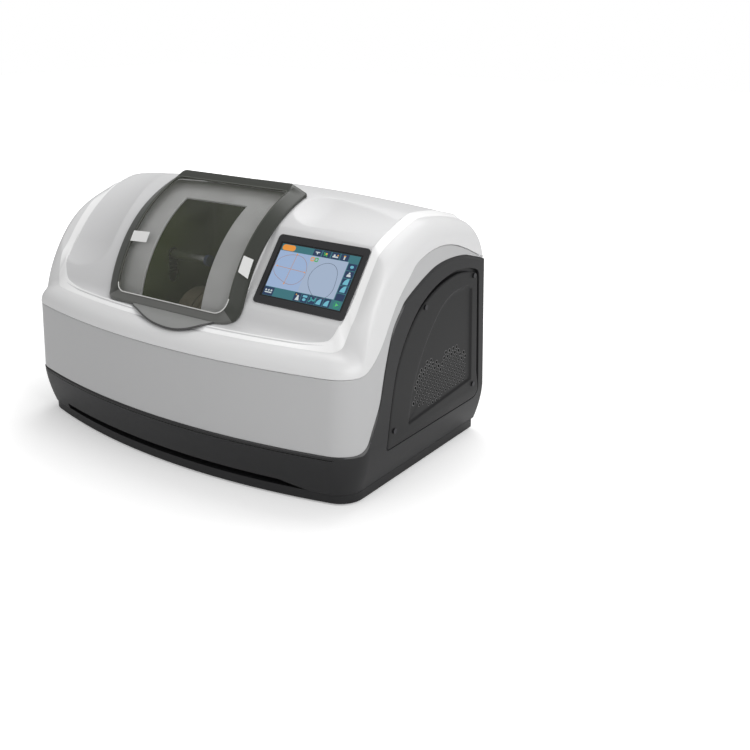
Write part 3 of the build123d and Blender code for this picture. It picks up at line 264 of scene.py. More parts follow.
def deck_rows(columns=330, rows=250):
    """The deck inside the rim: columns across, rows along the side-view line from the front edge to the rear."""
    edge, _ = plan(RIM_WIDTH, 30.0, REAR_EDGE)
    turn = 106
    x = np.unique(np.r_[np.linspace(-256, 256, columns), OPEN_LEFT, OPEN_RIGHT, POCKET_LEFT, POCKET_LEFT + 0.7,
                        np.linspace(-256, -222, 30), np.linspace(222, 256, 30)])
    front = np.interp(np.abs(x), edge[:turn, 0], edge[:turn, 1])
    first = np.interp(front, LINE_Y, RUN)
    shelf = np.interp(-126.0, LINE_Y, RUN)
    after = np.maximum(first + 1, shelf)
    marks = np.interp([OPEN_FRONT, OPEN_BACK], LINE_Y, RUN)
    body = np.unique(np.r_[np.linspace(shelf, RUN[-1], rows), marks])
    ledge = first[None] + (after - first)[None] * np.linspace(0, 1, 14)[:-1, None]
    rest = after[None] + (body[:, None] - shelf) * (RUN[-1] - after)[None] / (RUN[-1] - shelf)
    run = np.vstack([ledge, rest])
    y, z = np.interp(run, RUN, LINE_Y), np.interp(run, RUN, LINE_Z)
    lean = DRAFT * (z - PARTING) * np.clip((np.abs(x) - 190) / 60, 0, 1) * np.sign(x)
    px = x[None] - lean
    grid = np.stack([px, y, z - crown(px, y)], -1)
    return grid, x


OPEN_LEFT, OPEN_RIGHT, OPEN_FRONT, OPEN_BACK = -85.0, 27.0, -113.0, -15.0
HEART = np.array([0.0, 40.0, 140.0])          # inside the machine: every face looks away from it


def part(name, grids, finish, body="housing", stands_for=(), crisp=35.0, keep=None, wall=None):
    """One object from grids of points in mm, joined by quads; keep drops quads by their middle."""
    points, quads, start = [], [], 0
    for grid in grids:
        rows, columns = grid.shape[:2]
        index = start + np.arange(rows * columns).reshape(rows, columns)
        across, along = grid[:-1, 1:] - grid[:-1, :-1], grid[1:, :-1] - grid[:-1, :-1]
        if (np.cross(across, along) * (grid[:-1, :-1] - HEART)).sum() < 0:
            index = index[:, ::-1]
        quads.append(np.stack([index[:-1, :-1], index[:-1, 1:], index[1:, 1:], index[1:, :-1]], -1).reshape(-1, 4))
        points.append(grid.reshape(-1, 3))
        start += rows * columns
    points, quads = np.vstack(points), np.vstack(quads)
    if keep is not None:
        quads = quads[keep(points[quads].mean(axis=1))]
    points = (points - [0, BACK, 0]) / 1000.0
    mesh = bpy.data.meshes.new(name)
    mesh.from_pydata(points.tolist(), [], quads.tolist())
    return finish_part(name, mesh, finish, body, stands_for, crisp, wall)


def finish_part(name, mesh, finish, body="housing", stands_for=(), crisp=35.0, wall=None):
    """Welds a mesh, drops slivers, marks edges sharper than crisp degrees, and hangs it on its body."""
    work = bmesh.new()
    work.from_mesh(mesh)
    bmesh.ops.remove_doubles(work, verts=work.verts, dist=2e-5)
    bmesh.ops.dissolve_degenerate(work, edges=work.edges, dist=1e-5)
    loose = [v for v in work.verts if not v.link_faces]
    bmesh.ops.delete(work, geom=loose, context="VERTS")
    for face in work.faces:
        face.smooth = True
    for edge in work.edges:
        edge.smooth = not (edge.is_manifold and edge.calc_face_angle(0) > math.radians(crisp))
    work.to_mesh(mesh)
    work.free()
    mesh.materials.append(finish)
    made = bpy.data.objects.new(name, mesh)
    bpy.context.scene.collection.objects.link(made)
    if wall:
        skin = made.modifiers.new("wall", "SOLIDIFY")
        skin.thickness, skin.offset = wall / 1000.0, -1
    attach(made, body)
    if stands_for:
        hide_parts(*stands_for)
    return made


class Value:
    """A shader socket with arithmetic: an expression on values adds its Math nodes."""

    def __init__(self, paint, socket):
        self.paint, self.socket = paint, socket

    def math(self, operation, *others):
        return self.paint.node("ShaderNodeMath", {"operation": operation}, dict(enumerate((self,) + others)))

    def __add__(self, other):
        return self.math("ADD", other)

    def __sub__(self, other):
        return self.math("SUBTRACT", other)

    def __rsub__(self, other):
        return (self * -1.0) + other

    def __mul__(self, other):
        return self.math("MULTIPLY", other)

    __radd__, __rmul__ = __add__, __mul__


class Paint:
    """A material with one Principled shader; node() adds any other node and returns its first output."""

    def __init__(self, name, colour, roughness, **more):
        self.material = bpy.data.materials.new(name)
        self.material.use_nodes = True
        self.tree = self.material.node_tree
        self.shader = self.tree.nodes["Principled BSDF"]
        self.shader.inputs["Base Color"].default_value = (*colour, 1)
        self.shader.inputs["Roughness"].default_value = roughness
        for key, value in more.items():
            self.shader.inputs[key.replace("_", " ")].default_value = value

    def node(self, kind, settings, sockets, out=0):
        made = self.tree.nodes.new(kind)
        for key, value in settings.items():
            setattr(made, key, value)
        for key, value in sockets.items():
            if isinstance(value, Value):
                self.tree.links.new(value.socket, made.inputs[key])
            else:
                made.inputs[key].default_value = value
        return Value(self, made.outputs[out])

    def feed(self, socket, value):
        self.tree.links.new(value.socket, self.shader.inputs[socket])

    def place(self):
        return self.node("ShaderNodeTexCoord", {}, {}, "Object")

    def noise(self, scale, detail=2.0, out=0):
        return self.node("ShaderNodeTexNoise", {}, {"Vector": self.place(), "Scale": scale, "Detail": detail}, out)

    def grain(self, scale, depth, strength=1.0):
        """Moulded or cast texture: a fine noise as a bump, depth in metres."""
        self.feed("Normal", self.node("ShaderNodeBump", {}, {"Strength": strength, "Distance": depth,
                                                             "Height": self.noise(scale)}))
        return self

    def varied(self, colour, other, scale):
        """Slow drift between two close colours over the surface."""
        mix = self.node("ShaderNodeMix", {"data_type": "RGBA"},
                        {"Factor": self.noise(scale), 6: (*colour, 1), 7: (*other, 1)}, 2)
        self.feed("Base Color", mix)
        return self


white_abs = Paint("white ABS", (0.75, 0.75, 0.75), 0.38)
white_abs.varied((0.75, 0.75, 0.75), (0.735, 0.735, 0.74), 9.0).grain(1600.0, 0.00002, 0.25)
deck_abs = Paint("white ABS, deck", (0.70, 0.70, 0.705), 0.42)
deck_abs.varied((0.70, 0.70, 0.705), (0.685, 0.685, 0.69), 9.0).grain(1600.0, 0.00002, 0.3)
# The bevel from the rim down to the deck is coloured near white, brighter than the white ABS round it: a painted
# highlight along the rim's inner edge.
bevel_painted_highlight = Paint("white ABS, bevel, painted highlight", (0.97, 0.97, 0.97), 0.25)

deck, deck_columns = deck_rows()
deck = pocketed(pressed(deck))


def outside_opening(middle):
    """True for every quad that isn't in the opening over the wet chamber."""
    across = (middle[:, 0] > OPEN_LEFT) & (middle[:, 0] < OPEN_RIGHT)
    along = (middle[:, 1] > OPEN_FRONT) & (middle[:, 1] < OPEN_BACK) & (middle[:, 2] > 150)
    return ~(across & along)


rim, bevel = rim_rows()
part("white_shell_rim", [pocketed(pressed(grid)) for grid in rim], white_abs.material,
     stands_for=("top_shell",), crisp=24)
part("white_shell_bevel", [pocketed(pressed(grid)) for grid in bevel], bevel_painted_highlight.material, crisp=24)
part("white_shell_deck", [deck], deck_abs.material, crisp=40, keep=outside_opening, wall=3.0)

# ---------------------------------------------------------------- grey band
# A second moulding in light grey, clipped between the white shell and the black base. It runs
# round the bowed front and narrows as it climbs over both cheeks.
grey_abs = Paint("grey ABS", (0.50, 0.50, 0.505), 0.36)
grey_abs.varied((0.50, 0.50, 0.505), (0.485, 0.487, 0.49), 7.0).grain(1600.0, 0.00002, 0.25)
BAND_SINK = 0.7


def band_rows(low_line, high_line, sink, rear):
    """A strip of the drafted wall between two lines on it, sunk by sink, both edges rounded inwards."""
    outer, normals = plan(0, CORNER, rear)
    low, high = low_line(outer[:, 1]), high_line(outer[:, 1])
    high = np.maximum(high, low + 0.5)
    rows = []
    edge = ((2.6, 0.0), (0.7, 0.15), (0.2, 0.5), (0.0, 1.1))
    steps = [(depth, low + lift) for depth, lift in edge]
    steps += [(0.0, low + 1.1 + (high - low - 2.2) * share) for share in np.linspace(0, 1, 30)[1:-1]]
    steps += [(depth, high - lift) for depth, lift in edge[::-1]]
    for depth, level in steps:
        level = np.clip(level, low, high)
        spot = outer - normals * (DRAFT * (level - PARTING) + sink + depth)[:, None]
        rows.append(np.column_stack([spot, level]))
    return whole(np.array(rows))


part("grey_band", [band_rows(cheek, crease, BAND_SINK, 178.0)], grey_abs.material,
     stands_for=("front_fascia",), crisp=60)

# ---------------------------------------------------------------- black base
# A black ABS tray with a convex lower wall and a finger recess along its foot. At both ends it
# climbs as a cheek round the service cover, which sits in it with a dark gap all round.
black_abs = Paint("black ABS", (0.014, 0.014, 0.015), 0.42, Specular_IOR_Level=0.35)
black_abs.varied((0.014, 0.014, 0.015), (0.017, 0.017, 0.018), 12.0).grain(1400.0, 0.00003, 0.35)
TRAY_FOOT, TRAY_INSET = 15.0, 12.2
SLOT_LEFT, SLOT_RIGHT, SLOT_RAMP, SLOT_TOP, SLOT_DEPTH = -215.0, 186.0, 42.0, 25.0, 24.0
SIDE_START = -103.0
LIP = 4.6
REAR_HALF, REAR_LOW, REAR_HIGH = 262.0, 35.0, 240.0


def lean(z):
    """How far the base's wall stands in at height z: drafted above the parting line, convex below it."""
    share = np.clip((PARTING - z) / (PARTING - TRAY_FOOT), 0, 1)
    return np.where(z > PARTING, DRAFT * (z - PARTING), TRAY_INSET * share ** 1.7)


def base_front():
    """The bowed front and both corners of the base, with the finger recess pushed in along its foot."""
    points, normals = plan(0, CORNER, SIDE_START, (380, 30, 3))
    top = cheek(points[:, 1]) - LIP
    levels = [(26.0, TRAY_FOOT), (1.2, TRAY_FOOT), (0.35, TRAY_FOOT + 0.35), (0.0, TRAY_FOOT + 1.2)]
    levels += [(0.0, z) for z in np.linspace(TRAY_FOOT + 2, SLOT_TOP - 0.5, 14)]
    levels += [(0.0, z) for z in (SLOT_TOP, SLOT_TOP + 0.7)]
    levels += [(0.0, z) for z in np.linspace(SLOT_TOP + 3, PARTING - 2, 20)]
    rows = [np.column_stack([points - normals * (lean(z) + depth), np.full(len(points), z)]) for depth, z in levels]
    for share in np.linspace(0, 1, 8):
        z = PARTING - 2 + (top - PARTING + 2) * share
        rows.append(np.column_stack([points - normals * lean(z)[:, None], z]))
    grid = whole(np.array(rows))
    x, z = grid[..., 0], grid[..., 2]
    right = SLOT_RIGHT + SLOT_RAMP * np.clip((SLOT_TOP - z) / (SLOT_TOP - TRAY_FOOT), 0, 1)
    share = np.clip((x - SLOT_LEFT) / 1.2, 0, 1) * np.clip((right - x) / 3.0, 0, 1) * (z < SLOT_TOP - 0.2)
    grid[..., 1] += SLOT_DEPTH * share * (grid[..., 1] < SIDE_START)
    return grid


def lip(line, sink, rear):
    """The rolled top edge of the base or a band along a line on the wall."""
    points, normals = plan(0, CORNER, rear)
    high = line(points[:, 1])
    rows = []
    for depth, drop in ((0.0, LIP), (0.0, LIP - 0.01), (2.3, 0.5), (2.6, 0.3), (4.4, 0.2)):
        spot = points - normals * (lean(high - drop) + sink + depth)[:, None]
        rows.append(np.column_stack([spot, high - drop]))
    return whole(np.array(rows))


def loop(front, corners, count=360, soft=3.0):
    """A closed outline on the side wall: a smooth front edge, then straight sides with slightly rounded corners."""
    curve = through(np.array(front, float), 30)
    ring = np.vstack([curve, np.array(corners, float), curve[:1]])
    step = np.r_[0, np.cumsum(np.hypot(*np.diff(ring, axis=0).T))]
    even = np.linspace(0, step[-1], count * 4, endpoint=False)
    dense = np.stack([np.interp(even, step, ring[:, 0]), np.interp(even, step, ring[:, 1])], -1)
    window = max(1, int(soft / (step[-1] / len(dense))))
    kernel = np.hanning(2 * window + 1)
    kernel /= kernel.sum()
    padded = np.vstack([dense[-window:], dense, dense[:window]])
    smooth = np.stack([np.convolve(padded[:, k], kernel, "valid") for k in (0, 1)], -1)
    return smooth[::4]


def offset(ring, distance):
    """The loop moved outwards (or inwards, where negative) along its own normals."""
    ahead, behind = np.roll(ring, -1, axis=0), np.roll(ring, 1, axis=0)
    along = ahead - behind
    out = np.stack([-along[:, 1], along[:, 0]], -1)
    out /= np.hypot(*out.T)[:, None]
    if (out * (ring - ring.mean(axis=0))).sum() < 0:
        out = -out
    return ring + out * distance


def on_side(ring, depth, side):
    """A loop of y and z carried onto the left or right wall, sunk by depth, closed round."""
    closed = np.vstack([ring, ring[:1]])
    x = side * (HALF_WIDTH - lean(closed[:, 1]) - depth)
    return np.column_stack([x, closed])


COVER = loop([(-67, 57), (-55, 117), (-37, 170), (2, 218), (49, 243), (100, 252.4), (136, 249.5)],
             [(164, 241), (169, 63), (162, 57)], soft=16.0)
VENT = loop([(-16, 77), (-5, 119.5), (21, 166), (61, 208), (97, 224), (133, 225)], [(145, 219), (147, 89)])


def rounded(left, right, low, high, radii, counts=(12, 40, 60)):
    """A rounded rectangle from its left foot corner round by the right: radii at the left foot, the right foot,
    the right top and the left top; the same number of points for every size."""
    corners = ((left, low, 180), (right, low, 270), (right, high, 0), (left, high, 90))
    ring = []
    for (x, y, start), radius, count in zip(corners, radii, (1, 1, 1, 1)):
        cx = x + radius if start in (180, 90) else x - radius
        cy = y + radius if start in (180, 270) else y - radius
        turn = np.radians(np.linspace(start, start + 90, counts[0]))
        ring.append(np.stack([cx + radius * np.cos(turn), cy + radius * np.sin(turn)], -1))
    whole_ring = []
    for k in range(4):
        whole_ring.append(ring[k])
        ahead = ring[(k + 1) % 4][0]
        count = counts[1] if k % 2 == 0 else counts[2]
        between = ring[k][-1] + (ahead - ring[k][-1]) * np.linspace(0, 1, count)[1:-1, None]
        whole_ring.append(between)
    closed = np.vstack(whole_ring + [ring[0][:1]])
    return closed[:, 0], closed[:, 1]


def cheek_side(side):
    """The side of the base: loops that widen from the cover's seat to the cheek's own outline."""
    inner = offset(COVER, 0.4)
    middle = COVER.mean(axis=0)
    turn = np.arctan2(inner[:, 1] - middle[1], inner[:, 0] - middle[0])
    reach = np.linspace(0, 400, 401)
    outer = []
    for angle in turn:
        y, z = middle[0] + reach * math.cos(angle), middle[1] + reach * math.sin(angle)
        inside = (y > SIDE_START) & (y < rear_wall(z)) & (z > TRAY_FOOT) & (z < cheek(y) - LIP)
        near, far = reach[np.argmin(inside) - 1], reach[np.argmin(inside)]
        for _ in range(12):
            half = (near + far) / 2
            y, z = middle[0] + half * math.cos(angle), middle[1] + half * math.sin(angle)
            if SIDE_START < y < rear_wall(z) and TRAY_FOOT < z < cheek(y) - LIP:
                near = half
            else:
                far = half
        outer.append((middle[0] + near * math.cos(angle), middle[1] + near * math.sin(angle)))
    outer = np.array(outer)
    rows = [on_side(offset(COVER, -12.0), 5.0, side)] + [on_side(inner, depth, side) for depth in (5.0, 1.0)]
    rows += [on_side(offset(COVER, 0.55), 0.25, side), on_side(offset(COVER, 0.9), 0.0, side)]
    start = offset(COVER, 0.9)
    for share in np.linspace(0, 1, 40)[1:]:
        rows.append(on_side(start + (outer - start) * share, 0.0, side))
    return np.array(rows)


part("base_front", [base_front()], black_abs.material, crisp=40, stands_for=("base_housing",))
for side, word in ((-1, "left"), (1, "right")):
    part("base_cheek_" + word, [cheek_side(side)], black_abs.material, crisp=50)
# The chamfer along the base's top edge is coloured lighter than the black ABS: a painted highlight where the edge
# faces the light.
lip_painted_highlight = Paint("black ABS, chamfer, painted highlight", (0.030, 0.030, 0.031), 0.35)
part("base_lip", [lip(cheek, 0.0, rear_wall(250.0))], lip_painted_highlight.material, crisp=20)


def rear_frame():
    """The base's rear wall from the lip of the opening out to the cheeks, seen from behind as a flat frame."""
    inner = rounded(-REAR_HALF, REAR_HALF, REAR_LOW, REAR_HIGH, (5, 5, 5, 5))
    outer = rounded(-HALF_WIDTH, HALF_WIDTH, TRAY_FOOT, 254.0, (1, 1, 1, 1))
    outer = (outer[0] * (HALF_WIDTH - lean(outer[1])) / HALF_WIDTH, outer[1])
    rows = [np.stack([inner[0], rear_wall(inner[1]) - depth, inner[1]], -1) for depth in (4.0, 0.8)]
    rows.append(np.stack([inner[0] * 1.002, rear_wall(inner[1]), inner[1]], -1))
    for share in np.linspace(0, 1, 8)[1:]:
        x, z = (inner[k] * 1.0 + (outer[k] - inner[k]) * share for k in (0, 1))
        rows.append(np.stack([x, rear_wall(z), z], -1))
    return np.array(rows)


part("base_rear", [rear_frame()], black_abs.material, crisp=50)


def cover_side(side):
    """A service cover: rolled edge, flat field, and the sunken vent field with a rolled edge. The dark gap round
    it widens from 0.5 mm at the foot and the front to 4 mm at the top and the rear."""
    wide = np.clip((COVER[:, :1] + 50) / 100, 0, 1) * np.clip((COVER[:, 1:] - 70) / 26, 0, 1)
    gap = 0.5 + 4.2 * wide
    rows = [on_side(offset(COVER, -gap - distance), depth, side)
            for distance, depth in ((0.0, 4.0), (0.0, 1.0), (0.25, 0.3), (0.9, 0.0))]
    edge, field = offset(COVER, -gap - 0.9), offset(VENT, 2.0)
    rows += [on_side(edge + (field - edge) * share, 0.0, side) for share in np.linspace(0, 1, 14)[1:]]
    rows += [on_side(offset(VENT, distance), depth, side)
             for distance, depth in ((1.0, 0.1), (0.2, 0.45), (-0.4, 1.2), (-1.2, 1.9), (-2.4, 2.2))]
    floor, middle = offset(VENT, -2.4), VENT.mean(axis=0)
    rows += [on_side(floor + (middle - floor) * share, 2.2, side) for share in np.linspace(0, 1, 24)[1:]]
    return np.array(rows)


cover_abs = Paint("black ABS, covers", (0.0115, 0.0115, 0.012), 0.45, Specular_IOR_Level=0.3)
cover_abs.grain(900.0, 0.00005, 0.5)
# Each vent hole is a near-black disc, painted shade where the hole's depth would be dark, ringed with a light grey
# painted highlight.
hole_painted_shade = Paint("vent hole", (0.004, 0.004, 0.004), 0.9, Specular_IOR_Level=0.1)
hole_rim_painted_highlight = Paint("vent hole rim", (0.14, 0.14, 0.14), 0.35)
FIELD = [(-3, 91), (7, 130), (38, 143.5), (67, 132), (77, 146), (110, 141), (141, 122), (147, 89), (97, 84), (45, 78)]


def within(y, z, outline):
    """Even-odd rule: True where (y, z) lies inside the outline."""
    hit = False
    for (y0, z0), (y1, z1) in zip(outline, outline[1:] + outline[:1]):
        if (z0 > z) != (z1 > z) and y < y0 + (z - z0) * (y1 - y0) / (z1 - z0):
            hit = not hit
    return hit


def vent_holes(side):
    """Staggered small holes, and a few larger ones along the upper edge: each a ring of rim coloured light grey as a
    painted highlight, and a near-black disc as painted shade in the hole.
    """
    spots = []
    for row in range(14):
        for column in range(22):
            y, z = -6 + 9.6 * column + 4.8 * (row % 2), 80 + 6.6 * row
            if y < 138 and z > 84 and within(y, z - 6, FIELD):
                spots.append((y, z, 1.7 if within(y, z + 8, FIELD) else 2.3))
    turn = np.linspace(0, 2 * math.pi, 11)[:-1]
    points, faces, looks = [], [], []
    for y, z, radius in spots:
        start = len(points)
        for grow, depth in ((1.35, 2.12), (1.0, 1.95), (1.0, 2.1)):
            for a in turn:
                level = z + radius * grow * math.sin(a)
                x = side * (HALF_WIDTH - float(lean(level)) - depth)
                points.append((x, y + radius * grow * math.cos(a), level))
        for k in range(10):
            m = (k + 1) % 10
            quad = [start + k, start + m, start + 10 + m, start + 10 + k]
            faces.append(quad if side > 0 else quad[::-1])
            looks.append(1)
        disc_face = list(range(start + 20, start + 30))
        faces.append(disc_face if side > 0 else disc_face[::-1])
        looks.append(0)
    points = (np.array(points) - [0, BACK, 0]) / 1000.0
    mesh = bpy.data.meshes.new("vent_holes")
    mesh.from_pydata(points.tolist(), [], faces)
    mesh.materials.append(hole_painted_shade.material)
    mesh.materials.append(hole_rim_painted_highlight.material)
    mesh.polygons.foreach_set("material_index", looks)
    return mesh


for side, word in ((-1, "left"), (1, "right")):
    part("side_cover_" + word, [cover_side(side)], cover_abs.material, crisp=50,
         stands_for=("side_cover_" + word,))
    holes = bpy.data.objects.new("vent_holes_" + word, vent_holes(side))
    bpy.context.scene.collection.objects.link(holes)
    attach(holes, "housing")


def paint(finish, *names):
    """CAD nodes that are shown as they are take this finish."""
    for name in names:
        nodes[name].data.materials.clear()
        nodes[name].data.materials.append(finish.material)


paint(black_abs, "plinth")
rubber = Paint("black rubber", (0.02, 0.02, 0.02), 0.8)
paint(rubber, "rubber_feet")
screw_steel = Paint("blackened screws", (0.05, 0.05, 0.055), 0.35, Metallic=0.8)
paint(screw_steel, "case_screws")

# ---------------------------------------------------------------- hood
# A smoked, curved acrylic window in a dark frame that flares down to the deck on all sides,
# with a half-moon lip at its foot for the fingers. It turns about two hinge pins at the top.
hood_dark = Paint("dark hood frame", (0.040, 0.043, 0.036), 0.30)
PANE_LOW, PANE_HIGH, PANE_RISE = 163.9, 109.5, 11.0
PANE_LEFT, PANE_RIGHT = -120.0, 80.0


def on_brow(x, run, rise):
    """A point above the brow: run mm up from the pane's foot along its arc, rise mm off the deck's radius."""
    angle = np.radians(PANE_LOW - np.degrees(run / (BROW_R + PANE_RISE)))
    radius = BROW_R + rise
    return np.stack([x, BROW_Y + radius * np.cos(angle), BROW_Z + radius * np.sin(angle)], -1)


def above_deck(x, run, rise):
    """A point rise mm off the deck, run mm up along the deck's own line from the pane's foot."""
    foot = np.interp(BROW_Y + BROW_R * math.cos(math.radians(PANE_LOW)), LINE_Y, RUN)
    q = foot + run
    y, z = np.interp(q, RUN, LINE_Y), np.interp(q, RUN, LINE_Z)
    dy, dz = np.interp(q + 1, RUN, LINE_Y) - y, np.interp(q + 1, RUN, LINE_Z) - z
    size = np.hypot(dy, dz)
    return np.stack([x, y - dz / size * rise, z + dy / size * rise - crown(x, y)], -1)


PANE_RUN = math.radians(PANE_LOW - PANE_HIGH) * (BROW_R + PANE_RISE)


def hood_frame_rows():
    """The frame swept round the pane: inner edge, crest, flare and foot, then back up inside."""
    inner = rounded(PANE_LEFT, PANE_RIGHT, 0, PANE_RUN, (12, 22, 7, 7))
    crest = rounded(PANE_LEFT - 1.6, PANE_RIGHT + 1.6, -1.6, PANE_RUN + 13, (13.6, 23.6, 7, 7))
    foot = rounded(-142.0, 98.0, -25.0, PANE_RUN + 6, (30, 44, 7, 7))
    top = np.clip((crest[1] - PANE_RUN) / 13, 0, 1)
    rows = [on_brow(inner[0], inner[1], np.full_like(inner[0], PANE_RISE - 2.5)),
            on_brow(inner[0], inner[1], np.full_like(inner[0], PANE_RISE + 0.1))]
    crest_rise = PANE_RISE + 0.5 + 3.2 * top
    high = on_brow(crest[0], crest[1], crest_rise)
    rows += [rows[1] + (high - rows[1]) * 0.35 + [0, 0, 0.25], high]
    edge = above_deck(foot[0], foot[1], np.full_like(foot[0], 4.0))
    flare = [high + (edge - high) * share for share in (0.08, 0.3, 0.55, 0.8, 0.94)]
    rows += flare
    rows += [edge * 0.75 + above_deck(foot[0] * 1.0, foot[1], np.full_like(foot[0], 3.0)) * 0.25,
             above_deck(foot[0], foot[1], np.full_like(foot[0], 2.4)),
             above_deck(foot[0], foot[1], np.full_like(foot[0], 1.0))]
    inside = rounded(-139.2, 95.2, -22.0, PANE_RUN + 5, (28, 42, 6, 6))
    rows += [above_deck(inside[0], inside[1], np.full_like(foot[0], 1.0)),
             above_deck(inside[0], inside[1], np.full_like(foot[0], 3.5))]
    rows += [rows[-1] + (rows[0] - rows[-1]) * share for share in (0.5, 1.0)]
    return np.array(rows)


# The frame's front bar is coloured lighter than the rest of the frame: a painted reflection of the bright sky on the
# flare that faces up and forward.
hood_bar_painted_reflection = Paint("hood frame, front bar, painted reflection", (0.115, 0.117, 0.110), 0.32)
MITRE_LEFT, MITRE_RIGHT = 6, 56               # the ring's columns in the middle of the two foot corners
ring = hood_frame_rows()
part("hood_frame", [np.hstack([ring[:, MITRE_RIGHT:], ring[:, 1:MITRE_LEFT + 1]])], hood_dark.material,
     body="hood", stands_for=("hood_frame",), crisp=50)
part("hood_frame_bar", [ring[:, MITRE_LEFT:MITRE_RIGHT + 1]], hood_bar_painted_reflection.material, body="hood", crisp=50)


def pane_rows():
    """The window: rows up the arc, each as wide as the frame's rounded corners leave it."""
    rows = []
    for run in np.r_[np.linspace(-0.8, 22, 24), np.linspace(23, PANE_RUN + 0.8, 60)]:
        left = max(0.0, 12 - run)
        right = max(0.0, 22 - run)
        from_left = PANE_LEFT - 0.8 + (12 - math.sqrt(max(0, 144 - left ** 2)) if left < 12 else 12)
        from_right = PANE_RIGHT + 0.8 - (22 - math.sqrt(max(0, 484 - right ** 2)) if right < 22 else 22)
        x = np.linspace(from_left, from_right, 60)
        rows.append(on_brow(x, np.full_like(x, run), np.full_like(x, PANE_RISE - 0.1)))
    return np.array(rows)


smoked = Paint("smoked acrylic", (0.14, 0.145, 0.12), 0.06, IOR=1.49)
smoked.feed("Alpha", smoked.noise(16.0, 3.0) * 0.20 + 0.10)
part("hood_window", [pane_rows()], smoked.material, body="hood", stands_for=("hood_window",),
     wall=2.4)


def pane_edge():
    """The pane's edge where it meets the frame, a narrow strip that carries a painted highlight along the foot and
    painted shade along the top.
    """
    inner = rounded(PANE_LEFT + 1.0, PANE_RIGHT - 1.0, 1.1, PANE_RUN - 1.0, (11.1, 21.1, 6, 6))
    outer = rounded(PANE_LEFT - 0.2, PANE_RIGHT + 0.2, -0.2, PANE_RUN + 0.2, (12.2, 22.2, 7, 7))
    level = np.full_like(inner[0], PANE_RISE + 0.6)
    return np.array([on_brow(inner[0], inner[1], level - 0.7), on_brow(inner[0], inner[1], level),
                     on_brow(outer[0], outer[1], level), on_brow(outer[0], outer[1], level - 0.7)])


# The strip is light grey along the foot and its corners, a painted highlight, and dark along the sides and top,
# painted shade.
acrylic_painted_highlight = Paint("acrylic edge, painted highlight", (0.80, 0.80, 0.78), 0.15)
acrylic_painted_shade = Paint("acrylic edge in the frame's shade", (0.11, 0.115, 0.10), 0.2)
ring = pane_edge()
part("hood_window_edge", [ring[:, :MITRE_RIGHT + 6]], acrylic_painted_highlight.material, body="hood")
part("hood_window_edge_top", [ring[:, MITRE_RIGHT + 5:]], acrylic_painted_shade.material, body="hood")

grip_grey = Paint("grip lip", (0.26, 0.263, 0.257), 0.40)
# The lip's rounded edge and the strip under it are coloured near black: painted shade and shadow beneath the lip.
grip_edge_painted_shade = Paint("grip lip, edge, painted shade", (0.06, 0.06, 0.06), 0.35)
GRIP_ROOT = -126.0
GRIP_LINE = through(np.array([(-126, 200.5), (-137, 201.4), (-147, 201.2), (-156, 199.2), (-164, 196.0),
                              (-170, 192.4), (-176, 187.0)], float), 12)
GRIP_EDGE = through(np.array([(-82, -130), (-73, -139.5), (-56, -148.5), (-35, -158), (-12, -165), (12, -168),
                              (32, -167.2), (48, -162), (58, -154), (64, -144), (68, -130)], float), 9)


def grip_rows(outline):
    """Half-moon lip that bends down over the rim: each row is its outline moved in by inset and scaled by share
    towards the root, sunk by drop below the lip's own bend."""
    along = np.gradient(GRIP_EDGE, axis=0)
    normal = np.stack([along[:, 1], -along[:, 0]], -1) / np.hypot(*along.T)[:, None]
    rows = []
    for inset, share, drop in outline:
        edge = GRIP_EDGE - normal * inset
        y = GRIP_ROOT + (edge[:, 1] - GRIP_ROOT) * share
        rows.append(np.stack([edge[:, 0], y, np.interp(-y, -GRIP_LINE[:, 0], GRIP_LINE[:, 1]) - drop], -1))
    return np.array(rows)


part("hood_grip", [grip_rows([(1.2, share, 0.0) for share in np.linspace(0, 1, 15)])], grip_grey.material,
     body="hood", stands_for=("hood_grip",), crisp=50)
part("hood_grip_edge", [grip_rows([(1.2, 1, 0.0), (0.3, 1, 0.4), (0.0, 1, 1.2), (0.4, 1, 2.4), (2.2, 1, 2.7),
                                   (9.0, 1, 2.7)])], grip_edge_painted_shade.material, body="hood", crisp=50)
paint(hood_dark, "hood_hinges")

patch_white = Paint("blank white patch", (0.80, 0.80, 0.79), 0.5)


def patch(name, corners):
    """A plain white patch stuck on the hood: four corners of X, run and rise, a little curved with the pane."""
    share = np.linspace(0, 1, 6)
    (x0, r0, h0), (x1, r1, h1), (x2, r2, h2), (x3, r3, h3) = corners
    rows = []
    for t in share:
        left = np.array([x0, r0, h0]) * (1 - t) + np.array([x3, r3, h3]) * t
        right = np.array([x1, r1, h1]) * (1 - t) + np.array([x2, r2, h2]) * t
        line = left + (right - left) * share[:, None]
        rows.append(on_brow(line[:, 0], line[:, 1], line[:, 2]))
    part(name, [np.array(rows)], patch_white.material, body="hood")


patch("hood_patch_left", ((-121, 86.5, 12.2), (-92, 89, 11.4), (-90.5, 73, 11.4), (-120, 71, 12.2)))
patch("hood_patch_right", ((82, 80.6, 12.3), (97, 78.6, 8.9), (98.5, 52.5, 8.6), (83, 58, 12.3)))

# ---------------------------------------------------------------- display
# A colour touch panel behind black glass, tilted 52 degrees in its pocket: dark bezel with
# rounded corners, top bar, two lens outlines on light blue, and rows of small buttons.
bezel_black = Paint("display bezel", (0.022, 0.022, 0.024), 0.30)
paint(bezel_black, "display_bezel", "display_housing")
glass_black = Paint("display glass", (0.012, 0.012, 0.014), 0.08)
paint(glass_black, "display_glass")


